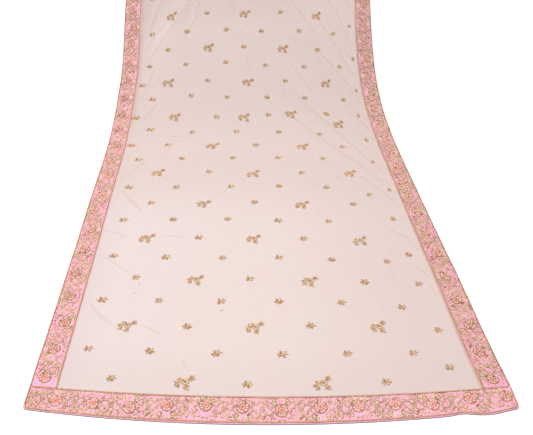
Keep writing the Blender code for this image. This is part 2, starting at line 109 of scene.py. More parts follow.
# Fine creases: a height, then a column and a row for each place that the soft ridge passes.
CREASE_WIDTH = 0.085
CREASE_ENDS = 0.5
DEEP, SOFT, FAINT = 0.0024, 0.0018, 0.0009
Crease = namedtuple("Crease", "height places")
CREASES = [Crease(height, list(zip(numbers[::2], numbers[1::2]))) for height, *numbers in (
    (DEEP, 1.0, 11.0, 1.28, 10.41, 1.64, 9.88, 1.96, 9.31),
    (DEEP, 1.9, 10.0, 2.3, 9.42, 2.68, 8.76, 3.16, 8.13),
    (DEEP, 2.2, 10.7, 2.43, 10.26, 2.6, 10.12, 2.75, 9.72, 3.14, 9.19),
    (SOFT, 2.6, 10.9, 2.96, 10.46, 3.26, 10.14), (FAINT, 1.84, 8.97, 1.98, 8.64, 2.03, 8.54),
    (DEEP, 2.0, 8.88, 2.38, 8.4, 2.86, 7.81, 3.27, 7.33), (FAINT, 1.21, 9.43, 1.42, 9.13, 1.49, 8.97),
    (SOFT, 1.13, 8.65, 1.36, 8.29, 1.53, 7.99, 1.7, 7.6),
    (DEEP, 1.1, 7.93, 1.46, 7.28, 1.88, 6.55, 2.26, 5.95, 2.54, 5.47, 3.12, 4.87),
    (DEEP, 0.48, 7.45, 1.05, 6.87, 1.43, 6.38, 1.93, 5.73, 2.46, 5.07, 2.96, 4.58),
    (SOFT, 2.42, 7.2, 2.64, 6.99, 2.99, 6.68, 3.22, 6.48), (FAINT, 2.46, 7.49, 2.68, 7.21, 2.87, 7.03),
    (SOFT, 2.36, 6.63, 2.59, 6.38, 2.98, 6.06), (FAINT, 2.43, 6.1, 2.71, 5.81, 3.0, 5.52),
    (FAINT, 0.91, 7.82, 0.97, 7.48), (SOFT, 2.69, 9.11, 3.0, 8.83, 3.21, 8.65),
    (DEEP, 2.2, 4.96, 2.51, 4.61, 2.8, 4.33, 3.2, 3.95),
    (SOFT, 2.52, 3.5, 2.91, 3.17, 3.08, 3.04, 3.29, 2.79), (FAINT, 2.91, 3.17, 3.16, 3.12),
    (SOFT, 3.0, 2.39, 3.25, 2.15), (FAINT, 2.5, 2.38, 2.56, 2.1), (FAINT, 2.1, 1.64, 2.19, 1.39),
    (SOFT, 3.18, 2.02, 3.26, 1.74), (FAINT, 1.05, 4.83, 1.33, 4.5), (FAINT, 1.19, 4.0, 1.4, 3.65),
    (SOFT, -2.2, 10.7, -2.33, 10.28, -2.45, 9.84, -2.58, 9.38),
    (DEEP, -1.4, 10.7, -1.6, 10.25, -2.02, 9.57, -2.44, 8.86, -2.62, 8.56),
    (SOFT, -2.1, 9.83, -2.37, 9.44, -2.66, 8.98),
    (FAINT, -1.1, 10.8, -1.23, 10.38, -1.41, 9.69, -1.73, 9.19),
    (SOFT, -2.36, 8.5, -2.51, 8.03, -2.6, 7.65, -2.7, 7.35), (FAINT, -2.2, 8.24, -2.43, 7.83),
    (SOFT, -2.25, 7.56, -2.41, 7.23, -2.6, 6.82), (DEEP, -2.33, 5.5, -2.53, 5.01, -2.74, 4.74),
    (SOFT, -1.83, 6.15, -2.07, 5.66), (FAINT, -2.22, 6.34, -1.36, 6.3),
    (FAINT, -0.08, 9.59, -0.05, 9.19), (FAINT, 0.03, 8.75, 0.11, 8.31),
    (SOFT, -2.62, 4.42, -2.44, 4.1, -2.15, 3.74), (FAINT, -2.76, 3.25, -2.54, 3.14, -2.3, 3.0),
    (FAINT, -2.73, 2.58, -2.48, 2.38, -2.12, 2.09), (SOFT, -2.68, 1.48, -2.44, 1.18, -2.19, 0.99),
    (FAINT, -1.78, 1.03, -1.57, 0.92, -1.38, 0.82), (FAINT, -1.06, 0.41, -0.95, 0.24),
    (FAINT, -1.74, 3.06, -1.21, 3.03), (SOFT, 0.6, 13.6, 1.1, 12.4, 2.3, 11.0),
    (SOFT, -0.7, 13.4, -1.3, 12.0, -2.2, 11.0), (SOFT, 2.1, 13.5, 2.6, 12.3, 3.1, 11.6),
)]

# Columns and rows of the sprigs that stand off the even lattice, as in the CAD source.
STRAY_SMALL = [
    (2.998, 0.23), (3.03, 1.0), (2.979, 1.973), (2.973, 2.671), (2.867, 3.602), (3.04, 4.467),
    (2.403, 4.304), (2.717, 5.387), (2.687, 6.233), (2.812, 7.04), (3.075, 7.791), (3.128, 8.749),
    (3.081, 9.688), (3.05, 10.62), (3.02, 11.6), (3.0, 12.58), (3.0, 13.55), (3.0, 14.6),
    (-2.679, 6.017), (-2.694, 6.953), (-2.639, 7.949), (-0.889, 6.952), (0.405, 7.017), (1.846, 7.047),
]
STRAY_LARGE = [(-1.960, 6.975), (-0.262, 6.951), (0.928, 7.050), (1.986, 6.746)]
EMPTY_PLACES = ((2.5, 3.5), (2.5, 4.5), (2.5, 5.5), (2.5, 6.5))
# Loose stitches on the net: a column, a row and a length in metres.
SPECKS = (
    (-0.479, 1.324, 0.0042), (-1.974, 1.660, 0.0020), (-1.928, 1.862, 0.0019), (2.611, 2.733, 0.0022),
    (1.751, 8.159, 0.0022), (1.207, 7.903, 0.0030), (1.858, 5.490, 0.0022), (1.745, 4.895, 0.0028),
)

# How far hand work has set a row's sprigs aside and along from an even lattice, in thousandths of a
# column and of a row, from the left.
HAND_SETS = {
    0: ((-26, 3, -32, 14, -8), (12, 4, -9, 3, 14)),
    0.5: ((21, -39, -16, -11, -22, -9), (12, 14, 3, 4, 21, 14)),
    1: ((-30, -18, 13, -49, -12), (2, -3, 5, 43, 35)),
    1.5: ((35, -36, 10, -31, 15, 14), (14, 8, 4, 27, 27, -46)),
    2: ((-1, -5, -11, -18, -22), (15, -20, 5, -23, -15)),
    2.5: ((20, -48, -18, 6, -44, -27), (32, 1, 3, 24, -2, -14)),
    3: ((-19, 2, -12, -22, -15), (6, 21, -1, 22, -15)),
    3.5: ((38, -34, 24, 5, -17, 0), (5, 20, 35, 0, 2, 0)),
    4: ((-17, -16, 42, -53, 12), (5, -16, 42, -22, 9)),
    4.5: ((-8, -78, 50, 34, 9, 0), (5, 8, 26, 55, 22, 0)),
    5: ((-71, 45, -63, 10, -5), (-8, 33, -37, 6, -9)),
    5.5: ((20, -87, 28, 15, -5, 0), (-35, 13, 39, 48, 11, 0)),
    6: ((3, -22, -1, 13, -45), (35, 3, 32, -23, -31)),
    6.5: ((74, 7, 48, 43, -7, 0), (71, -16, 2, -5, -75, 0)),
    7.5: ((86, 31, -43, -16, -48, 7), (8, 86, 27, 23, -3, -3)),
    8: ((-84, -12, -8, 18, 29), (5, 37, -14, 2, -24)),
    8.5: ((0, -63, -8, 33, 47, 33), (28, 45, 84, -11, -36, -12)),
    9: ((-37, -5, -19, -21, -60), (-28, 22, 34, -7, -46)),
    9.5: ((37, -52, 14, -30, -6, -56), (-37, -4, 29, -18, -3, -56)),
    10: ((-23, -23, -25, 1, -56), (-52, 25, 1, 37, -58)),
}

# Where hand work has set a border's flowers: rows for the sides, columns for the ends, and
# millimetres from the border's middle line towards the cloth's middle.
SIDE_FLOWERS = {
    "left": (
        (-0.05, -2), (0.47, -1), (1.04, 3), (1.59, -2), (2.12, -4), (2.69, 0), (3.24, 0), (3.78, -7),
        (4.3, 1), (4.89, 3), (5.4, -2), (6.0, 2), (6.6, -4), (7.08, -2), (7.6, -4), (8.12, -2),
        (8.64, -5), (9.22, 0), (9.7, 4), (10.18, 0),
    ),
    "right": (
        (-0.05, 1), (0.5, 2), (1.11, -4), (1.65, 2), (2.17, 2), (2.72, -1), (3.26, 1), (3.82, 0),
        (4.32, 3), (4.76, 1), (5.24, -3), (5.8, 2), (6.3, -4), (6.82, -1), (7.28, 0), (7.76, -4),
        (8.28, -2), (8.78, -3), (9.28, -2), (9.8, 3), (10.34, -4),
    ),
}
END_FLOWERS = (
    (-2.976, -1), (-2.452, 1), (-1.924, -3), (-1.396, 6), (-0.853, 9), (-0.333, 6), (0.21, -1),
    (0.759, 5), (1.29, 5), (1.807, 5), (2.34, 0), (2.884, 8), (3.41, 5),
)

HEM_ROW = -MARGIN_ROWS - BORDER / ROW
END_ROW = LAST_ROW + MARGIN_ROWS + BORDER / ROW
FIRST_NET_ROW = HEM_ROW + (BORDER + SEAM) / ROW
LAST_NET_ROW = END_ROW - (BORDER + SEAM) / ROW
REST_RADIUS = ROD_RADIUS + ROD_CLEARANCE
ARRIVAL = math.radians(RISES[-1].slope)
WRAP_START = (WRAP_ROW - HEM_ROW) * ROW
WRAP_LENGTH = REST_RADIUS * (ARRIVAL + math.pi / 2)
SIDE_LENGTH = (LAST_NET_ROW - FIRST_NET_ROW) * ROW
END_WIDTH = (SECTIONS[0].right - SECTIONS[0].left) * COLUMN


# ---- the surface ----

def read_table(table, name, row):
    """A table's column at an array of rows, on a smooth curve through its entries."""
    rows = np.array([entry.row for entry in table])
    values = np.array([getattr(entry, name) for entry in table])
    index = np.arange(len(rows))
    low = np.maximum(index - 1, 0)
    high = np.minimum(index + 1, len(rows) - 1)
    tangents = (values[high] - values[low]) / (rows[high] - rows[low])
    row = np.clip(row, rows[0], rows[-1])
    after = np.clip(np.searchsorted(rows, row, side="right"), 1, len(rows) - 1)
    before = after - 1
    span = rows[after] - rows[before]
    t = (row - rows[before]) / span
    start = (1 + 2 * t) * (1 - t) ** 2 * values[before]
    end = t * t * (3 - 2 * t) * values[after]
    lean = t * (1 - t) ** 2 * tangents[before] - t * t * (1 - t) * tangents[after]
    return start + end + span * lean


def sections(row, *names):
    """Some columns of the table of sections, at an array of rows."""
    return [read_table(SECTIONS, name, row) for name in names]


def slope_at(arc):
    """Angle of the cloth's long profile, by the arc length from the near hem."""
    rising = np.radians(read_table(RISES, "slope", HEM_ROW + arc / ROW))
    turning = ARRIVAL - np.minimum((arc - WRAP_START) / REST_RADIUS, ARRIVAL + math.pi / 2)
    return np.where(arc < WRAP_START, rising, turning)


def long_profile():
    """Arc lengths and the Y, Z places of the cloth's underside at them, with the rod at 0, 0."""
    arcs = np.arange(0.0, (END_ROW - HEM_ROW) * ROW + PROFILE_STEP, PROFILE_STEP)
    slopes = slope_at(arcs[:-1] + PROFILE_STEP / 2)
    along, height = [np.concatenate(([0.0], np.cumsum(part(slopes)) * PROFILE_STEP))
                     for part in (np.cos, np.sin)]
    axis_along = np.interp(WRAP_START, arcs, along) + REST_RADIUS * math.sin(ARRIVAL)
    axis_height = np.interp(WRAP_START, arcs, height) - REST_RADIUS * math.cos(ARRIVAL)
    return arcs, along - axis_along, height - axis_height


ARCS, ALONG, HEIGHT = long_profile()
FLOOR = float(HEIGHT[0])
ROD_MIDDLE = float(sum(sections(WRAP_ROW, "left", "right"))) / 2


def smooth_step(t):
    t = np.clip(t, 0.0, 1.0)
    return t * t * (3 - 2 * t)


def ridge(column, row, places, height, width, ends):
    """Height of a soft ridge through some places; ends is the rows over which it fades."""
    places = np.array(places, float)
    runs = places[1:] - places[:-1]
    lengths = np.hypot(runs[:, 0], runs[:, 1])
    total = lengths.sum()
    nearest = np.full(np.shape(column), 1e9)
    reached = np.zeros(np.shape(column))
    before = 0.0
    for start, run, length in zip(places[:-1], runs, lengths):
        share = ((column - start[0]) * run[0] + (row - start[1]) * run[1]) / length ** 2
        inside = np.clip(share, 0.0, 1.0)
        away = np.hypot(column - start[0] - inside * run[0], row - start[1] - inside * run[1])
        closer = away < nearest
        nearest = np.where(closer, away, nearest)
        reached = np.where(closer, before + inside * length, reached)
        before += length
    ends = min(ends, total / 2)
    fade = smooth_step(reached / ends) * smooth_step((total - reached) / ends)
    return height * fade * np.exp(-(nearest / width) ** 2)


def fold_height(column, row):
    """Height of the folds and creases over the plain surface."""
    total = np.zeros(np.shape(column))
    for fold in FOLDS:
        places = ((fold.column, fold.row), (fold.to_column, fold.to_row))
        total = total + ridge(column, row, places, fold.height, fold.width, FOLD_ENDS)
    on_rod = smooth_step(np.abs(row - WRAP_ROW) / FOLD_ENDS)
    total = total * smooth_step((row - FLOOR_ROW) / FOLD_ENDS) * on_rod
    for crease in CREASES:
        total = total + ridge(column, row, crease.places, crease.height, CREASE_WIDTH, CREASE_ENDS) * on_rod
    to_border = np.minimum(column - FIELD_LEFT, FIELD_RIGHT - column)
    return total * smooth_step(to_border / 0.2)


def across_at(column, row):
    """Place of a sprig column across the cloth, in columns, with the net's slack eased out."""
    gather, centre = sections(row, "gather", "centre")
    placed = centre + gather * column
    for start, stop, side, sense in ((EVEN_LEFT, FIELD_LEFT, "left", 1),
                                     (EVEN_RIGHT, FIELD_RIGHT, "right", -1)):
        edge = read_table(SECTIONS, side, row) + sense * (BORDER + SEAM) / COLUMN
        span = edge - (centre + gather * start)
        share = (column - start) / (stop - start)
        lead = gather * (stop - start) / span
        eased = centre + gather * start + span * share * (lead + (1 - lead) * share)
        placed = np.where(share > 0, eased, placed)
    return placed


def cloth_point(across, row, lift):
    """World points: across in columns from the floor line, lift square to the long profile."""
    left, right = sections(row, "left", "right")
    drift_left, drift_middle, drift_right = sections(row, "drift_left", "drift_middle", "drift_right")
    aside = (2 * across - left - right) / (right - left)
    drift = drift_middle + (drift_right - drift_left) / 2 * aside
    drift = drift + ((drift_left + drift_right) / 2 - drift_middle) * aside ** 2
    near_hem = smooth_step(1 - (row - HEM_ROW) * ROW / BORDER)
    for wave in HEM_WAVES:
        drift = drift + wave.swing * near_hem * np.exp(-((across - wave.across) / wave.width) ** 2)
    arc = (row - HEM_ROW + drift) * ROW
    slope = slope_at(arc)
    y = np.interp(arc, ARCS, ALONG) + np.minimum(arc, 0.0) - lift * np.sin(slope)
    z = np.interp(arc, ARCS, HEIGHT) + lift * np.cos(slope)
    return np.stack(np.broadcast_arrays((across - ROD_MIDDLE) * COLUMN, y, z), axis=-1)


def on_net(u, v, lift):
    """World points of places on the net: u and v are metres from sprig column 0 and sprig row 0."""
    column = u / COLUMN
    row = v / ROW
    return cloth_point(across_at(column, row), row, lift + fold_height(column, row))


def on_side(side):
    """Places on a side border: u metres inward from the outer edge, v metres from its near end."""
    sense = 1 if side == "left" else -1

    def place(u, v, lift):
        row = FIRST_NET_ROW + v / ROW
        return cloth_point(read_table(SECTIONS, side, row) + sense * u / COLUMN, row, lift)

    return place


def corner_cut(to_side):
    """How far a rounded corner cuts into the hem, at a distance from the side edge."""
    reach = np.clip(1 - to_side / CORNER_RADIUS, 0.0, 1.0)
    return CORNER_RADIUS * (1 - np.sqrt(1 - reach * reach))


def on_end(end):
    """Places on an end border: u metres from its left edge, v metres inward from its hem."""
    hem, sense = (HEM_ROW, 1) if end == "near_end" else (END_ROW, -1)
    hem_left, hem_right = sections(hem, "left", "right")
    width = float(hem_right - hem_left) * COLUMN

    def place(u, v, lift):
        share = u / END_WIDTH
        row = hem + sense * (v + corner_cut(np.minimum(share, 1 - share) * width) * (1 - v / BORDER)) / ROW
        left, right = sections(row, "left", "right")
        return cloth_point(left + share * (right - left), row, lift)

    return place


# ---- materials ----

class Shader:
    """A small helper that wires a node material."""

    def __init__(self, name):
        self.material = bpy.data.materials.new(name)
        self.material.use_nodes = True
        self.tree = self.material.node_tree
        self.surface = self.tree.nodes["Principled BSDF"]

    def give(self, socket, value):
        """Give a socket a number, a colour or a vector, or link another socket to it."""
        if isinstance(value, (int, float)):
            socket.default_value = value
        elif isinstance(value, tuple):
            socket.default_value = (*value, 1.0) if socket.type == "RGBA" else value
        else:
            self.tree.links.new(value, socket)

    def node(self, kind, inputs=(), **settings):
        """A new node, its inputs given by name or number."""
        made = self.tree.nodes.new(kind)
        for key, value in settings.items():
            setattr(made, key, value)
        for key, value in dict(inputs).items():
            self.give(made.inputs[key], value)
        return made

    def set(self, **values):
        """Give values to inputs of the material's surface."""
        for name, value in values.items():
            self.give(self.surface.inputs[name.replace("_", " ")], value)

    def place(self):
        """The flat place on the cloth, stored on each piece."""
        return self.node("ShaderNodeAttribute", attribute_name="cloth").outputs["Vector"]

    def split(self, vector):
        return self.node("ShaderNodeSeparateXYZ", {"Vector": vector}).outputs

    def noise(self, vector, scale, detail=2.0, stretch=(1, 1, 1)):
        mapped = self.node("ShaderNodeMapping", {"Scale": stretch, "Vector": vector}).outputs["Vector"]
        inputs = {"Scale": scale, "Detail": detail, "Vector": mapped}
        return self.node("ShaderNodeTexNoise", inputs).outputs["Fac"]

    def math(self, operation, *values):
        return self.node("ShaderNodeMath", enumerate(values), operation=operation).outputs["Value"]

    def times(self, one, two):
        return self.math("MULTIPLY", one, two)

    def remap(self, value, low, high, to_low=0.0, to_high=1.0):
        ends = {"From Min": low, "From Max": high, "To Min": to_low, "To Max": to_high, "Value": value}
        return self.node("ShaderNodeMapRange", ends, interpolation_type="SMOOTHSTEP").outputs["Result"]

    def blend(self, factor, one, two):
        """A colour between two, each a colour or a socket."""
        return self.node("ShaderNodeMix", {0: factor, 6: one, 7: two}, data_type="RGBA").outputs[2]

    def fade(self, value, low, high, one, two):
        """One colour where a value is low, another where it is high."""
        return self.blend(self.remap(value, low, high), one, two)

    def bump(self, height, strength, distance):
        inputs = {"Strength": strength, "Distance": distance, "Height": height}
        self.set(Normal=self.node("ShaderNodeBump", inputs).outputs["Normal"])


# Painted light and shade on the net, for how the light falls on it: it varies across the left half and is
# darker towards the right, near the near border and up the far part where the cloth rises. The last row is
# the pink-brown of the satin's seam seen through the net beside the borders, partly painted shade. Each row:
# what is measured (the place across, along or from the border), two measures, the shade's share at each of
# them, and its colour.
NET_PAINTED_LIGHT_AND_SEAM = (
    ("across", -0.30, 0.0, 0.8, 0.0, (0.765, 0.655, 0.64)),
    ("across", -0.45, -0.30, 0.5, 0.0, (0.71, 0.605, 0.60)),
    ("along", 0.0, 0.09, 0.5, 0.0, (0.72, 0.60, 0.565)),
    ("along", 0.42, 0.74, 0.0, 1.0, (0.723, 0.595, 0.56)),
    ("along", 1.30, 1.42, 0.0, 1.0, (0.655, 0.525, 0.49)),
    ("across", 0.0, 0.42, 0.0, 0.6, (0.69, 0.56, 0.525)),
    ("to_edge", 0.0, 0.0070, 0.45, 0.0, (0.79, 0.52, 0.51)),
)
# Colours of the painted shade beside the borders; the warm one also darkens the net's seam line.
GREY_PAINTED_SHADE = (0.46, 0.385, 0.40)
WARM_SHADE_AND_SEAM = (0.56, 0.33, 0.26)
# Painted shade on the net beside the borders, which stand above it; the last row is the net's darker seam
# line
# beside the lower right border. Each row: the half of the net, how far the shade reaches in, two lengths
# along the cloth, its share at each of them, and its colour.
EDGE_SHADE_AND_SEAM = (
    ("left", 0.075, 1.05, 1.38, 0.06, 0.34, GREY_PAINTED_SHADE),
    ("left", 0.016, 0.80, 1.15, 0.0, 0.50, WARM_SHADE_AND_SEAM),
    ("right", 0.026, 0.88, 1.25, 0.0, 0.22, GREY_PAINTED_SHADE),
    ("right", 0.012, 0.80, 1.15, 0.0, 0.25, WARM_SHADE_AND_SEAM),
    ("right", 0.0090, 0.40, 0.70, 0.60, 0.0, WARM_SHADE_AND_SEAM),
)
NET_PITCH = 0.0016
# The slant of two of the net's three sets of threads, and the share of the pitch between the third's.
NET_SLANT, NET_SHARE = 0.577, 0.87


def make_net_material():
    """Sheer six-sided net: threads with small gaps between them, a little uneven in tone, with painted light
    and shade over it.
    """
    shader = Shader("net")
    place = shader.place()
    across, along, to_edge = shader.split(place)
    measures = {"across": across, "along": along, "to_edge": to_edge}
    leaned = [shader.math("ADD", across, shader.times(along, slant)) for slant in (NET_SLANT, -NET_SLANT)]
    lines = [shader.times(measure, math.pi / NET_PITCH / share)
             for measure, share in zip((*leaned, along), (1.0, 1.0, NET_SHARE))]
    lines = [shader.math("ABSOLUTE", shader.math("SINE", line)) for line in lines]
    nearest = shader.math("MINIMUM", shader.math("MINIMUM", lines[0], lines[1]), lines[2])
    thread = shader.remap(nearest, 0.10, 0.55, 1.0, 0.0)
    broad = shader.noise(place, 3.1)
    fine = shader.noise(place, 900.0, 1.0)
    tone = shader.fade(broad, 0.38, 0.62, (0.77, 0.655, 0.61), (0.77, 0.65, 0.62))
    # Painted light and shade over the net's own tone, then the seam's tint beside the borders.
    for measure, *run, shade in NET_PAINTED_LIGHT_AND_SEAM:
        tone = shader.blend(shader.remap(measures[measure], *run), tone, shade)
    halves = {"left": shader.math("LESS_THAN", across, 0.0),
              "right": shader.math("GREATER_THAN", across, 0.0)}
    # Painted shade beside the borders, and the seam line beside the lower right border.
    for half, reach, *run, shade in EDGE_SHADE_AND_SEAM:
        share = shader.times(shader.remap(to_edge, 0.0, reach, 1.0, 0.0), shader.remap(along, *run))
        tone = shader.blend(shader.times(share, halves[half]), tone, shade)
    uneven = shader.times(shader.math("SUBTRACT", fine, 0.5), 0.10)
    shader.set(Base_Color=tone, Roughness=0.85, Specular_IOR_Level=0.15,
               Alpha=shader.math("ADD", shader.remap(thread, 0.0, 1.0, 0.56, 0.88), uneven))
    shader.bump(thread, 0.35, 0.0003)
    return shader.material


def make_crease_material():
    """Doubled net along a pressed crease, a shade warmer than the net."""
    shader = Shader("net_crease")
    mottle = shader.noise(shader.place(), 90.0)
    shader.set(Base_Color=shader.fade(mottle, 0.35, 0.65, (1.00, 0.66, 0.36), (1.00, 0.73, 0.46)),
               Roughness=0.85, Specular_IOR_Level=0.15, Alpha=shader.remap(mottle, 0.3, 0.7, 0.05, 0.09))
    return shader.material


# The satin's deep and middle pinks, and a paler pink painted on the weave as highlight.
SATIN_PINKS = ((0.75, 0.270, 0.395), (0.83, 0.34, 0.48), (0.88, 0.46, 0.61))
# Painted shade on the satin: darker at its inner edge beside the net, mauve where its outer edge rolls
# under, and a near-black painted contact shadow along that edge. Each row: two distances from its inner
# edge, the shade's share at each, and its colour.
SATIN_PAINTED_SHADES = (
    (0.0, 0.0034, 0.9, 0.0, (0.68, 0.42, 0.35)),
    (BORDER - 0.0034, BORDER - 0.0018, 0.0, 0.85, (0.52, 0.26, 0.31)),
    (BORDER - 0.0012, BORDER - 0.0004, 0.0, 1.0, (0.17, 0.12, 0.14)),
)


def make_satin_material(name, level):
    """Pink satin: a fine slanting weave with a painted highlight on it, a soft sheen, and painted shade
    along its edges; level is how light its pinks are.
    """
    shader = Shader(name)
    place = shader.place()
    weave = shader.noise(place, 700.0, 2.0, (1.0, 0.16, 1.0))
    cloudy = shader.noise(place, 60.0, 3.0)
    deep, middle, pale = [tuple(level * part for part in pink) for pink in SATIN_PINKS]
    pink = shader.fade(cloudy, 0.3, 0.7, deep, middle)
    # A paler pink painted along the weave's streaks as highlight.
    pink = shader.blend(shader.remap(weave, 0.35, 0.65, 0.0, 0.45), pink, pale)
    from_inner = shader.split(place)["Z"]
    # Painted shade at the satin's inner edge and where its outer edge rolls under, and a painted contact
    # shadow there.
    for *run, shade in SATIN_PAINTED_SHADES:
        pink = shader.blend(shader.remap(from_inner, *run), pink, shade)
    shader.set(Base_Color=pink, Roughness=shader.remap(weave, 0.3, 0.7, 0.38, 0.52), Sheen_Weight=0.15,
               Sheen_Roughness=0.4)
    shader.bump(shader.math("ADD", shader.times(weave, 0.4), cloudy), 0.35, 0.0006)
    return shader.material


def make_zari_material(name, dark, light, metallic, roughness):
    """Metal thread: fine coils along it, and some stretches brighter than others."""
    shader = Shader(name)
    place = shader.place()
    coils = shader.noise(place, 1400.0, 1.0)
    patches = shader.noise(place, 420.0)
    mixed = shader.math("ADD", shader.times(coils, 0.45), shader.times(patches, 0.55))
    shader.set(Base_Color=shader.fade(mixed, 0.36, 0.64, dark, light), Metallic=metallic,
               Roughness=shader.remap(coils, 0.3, 0.7, roughness - 0.08, roughness + 0.10))
    shader.bump(coils, 0.5, 0.0004)
    return shader.material


def make_bead_material(name, dark, light, roughness):
    """Small glassy or lacquered beads."""
    shader = Shader(name)
    patches = shader.noise(shader.place(), 380.0)
    shader.set(Base_Color=shader.fade(patches, 0.35, 0.65, dark, light), Coat_Weight=0.3,
               Roughness=shader.remap(patches, 0.3, 0.7, roughness - 0.06, roughness + 0.06))
    shader.bump(patches, 0.2, 0.0002)
    return shader.material


def make_wood_material():
    """Plain turned wood with its grain along the rod."""
    shader = Shader("rod_wood")
    position = shader.node("ShaderNodeTexCoord").outputs["Object"]
    grain = shader.noise(position, 60.0, 4.0, (0.05, 1.0, 1.0))
    fibres = shader.noise(position, 420.0, 2.0, (0.03, 1.0, 1.0))
    colour = shader.fade(grain, 0.35, 0.65, (0.38, 0.22, 0.11), (0.58, 0.38, 0.21))
    colour = shader.blend(shader.remap(fibres, 0.4, 0.6, 0.0, 0.35), colour, (0.30, 0.17, 0.08))
    shader.set(Base_Color=colour, Roughness=shader.remap(fibres, 0.3, 0.7, 0.40, 0.58))
    shader.bump(fibres, 0.25, 0.0004)
    return shader.material


NET = make_net_material()
CREASED = make_crease_material()
# The right border's satin is painted a shade darker than the left, as shade for the side that takes less
# light.
SATINS = {"left": make_satin_material("satin", 1.0), "right": make_satin_material("right_satin_painted_shade", 0.89)}
GOLD = make_zari_material("zari", (0.29, 0.150, 0.055), (0.62, 0.375, 0.170), 0.20, 0.42)
PALE = make_zari_material("pale_bead", (0.74, 0.60, 0.36), (0.97, 0.91, 0.69), 0.08, 0.30)
CORAL = make_bead_material("coral_bead", (0.80, 0.27, 0.15), (0.97, 0.53, 0.36), 0.35)
DARK = make_bead_material("dark_sequin", (0.16, 0.03, 0.05), (0.34, 0.07, 0.09), 0.30)
SPRIG_GOLD = make_zari_material("sprig_zari", (0.36, 0.17, 0.062), (0.75, 0.43, 0.20), 0.12, 0.42)
ROPE = make_zari_material("rope_zari", (0.54, 0.27, 0.16), (0.85, 0.56, 0.40), 0.12, 0.48)
MATERIALS = [GOLD, PALE, CORAL, DARK, ROPE]
SPRIG_MATERIALS = [SPRIG_GOLD, PALE, CORAL, DARK]
IN_GOLD, IN_PALE, IN_CORAL, IN_DARK, IN_ROPE = range(5)


# ---- flat drawing ----

# A thread's width beside its height, and how thin its ends are.
THREAD_SPREAD, THREAD_TAPER = 1.15, 0.45
# A leaf's places along it, the share of its width that is padded, and the padding's height.
LEAF_STEPS, LEAF_FILL, LEAF_HEIGHT = 6, 0.66, 0.0011
SCROLL_LINE, SCROLL_FILL = 0.0007, 0.30
# A branch's stem, the step between its stitches, their length and width, and how far they lean out.
BRANCH_STEM, BRANCH_PITCH, BRANCH_LONG, BRANCH_WIDE = 0.0005, 0.0034, 0.0023, 0.0010
BRANCH_LEAN = math.radians(40)


def tenths(*numbers):
    """Tenths of a millimetre, as metres."""
    return np.array(numbers, float) / 10000


def circle(count):
    return math.tau * np.arange(count) / count


def polar(radius, angle):
    return radius * np.array((math.cos(angle), math.sin(angle)))


def turned(points, angle):
    cosine, sine = math.cos(angle), math.sin(angle)
    return np.stack([points[:, 0] * cosine - points[:, 1] * sine,
                     points[:, 0] * sine + points[:, 1] * cosine], axis=1)


def square_to(run):
    """Unit steps square to some flat steps, to their left."""
    run = run / np.maximum(np.hypot(run[:, 0], run[:, 1]), 1e-9)[:, None]
    return np.stack([-run[:, 1], run[:, 0]], axis=1)


def beside(path, offset):
    return path + offset * square_to(np.gradient(path, axis=0))


def through(places, step=0.0019):
    """A smooth path through a few places, with about one point a step."""
    places = np.asarray(places, float)
    ends = np.vstack([2 * places[0] - places[1], places, 2 * places[-1] - places[-2]])
    path = [places[0]]
    for before, start, end, after in zip(ends[:-3], ends[1:-2], ends[2:-1], ends[3:]):
        count = max(2, int(round(np.hypot(*(end - start)) / step)))
        t = (np.arange(count) + 1)[:, None] / count
        path.extend(0.5 * (2 * start + (end - before) * t
                           + (2 * before - 5 * start + 4 * end - after) * t ** 2
                           + (3 * start - before - 3 * end + after) * t ** 3))
    return np.array(path)


def lengths_along(path):
    return np.concatenate([[0.0], np.cumsum(np.hypot(*np.diff(path, axis=0).T))])


def at_lengths(path, lengths):
    """Places at some lengths along a path."""
    reached = lengths_along(path)
    return np.stack([np.interp(lengths, reached, path[:, k]) for k in (0, 1)], axis=1)


def steps_along(path, lengths, reach):
    """The same places, each with the path's angle there, taken over a reach to either side."""
    runs = at_lengths(path, lengths + reach) - at_lengths(path, lengths - reach)
    return [(spot, math.atan2(run[1], run[0])) for spot, run in zip(at_lengths(path, lengths), runs)]


def tube(rings, sides, closed=False):
    """Four-cornered faces round a row of rings of points."""
    ring = np.arange(rings if closed else rings - 1)[:, None] * sides
    following = (ring + sides) % (rings * sides)
    side = np.arange(sides)
    ahead = (side + 1) % sides
    corners = (ring + side, ring + ahead, following + ahead, following + side)
    return np.stack([corner.ravel() for corner in corners], axis=-1)


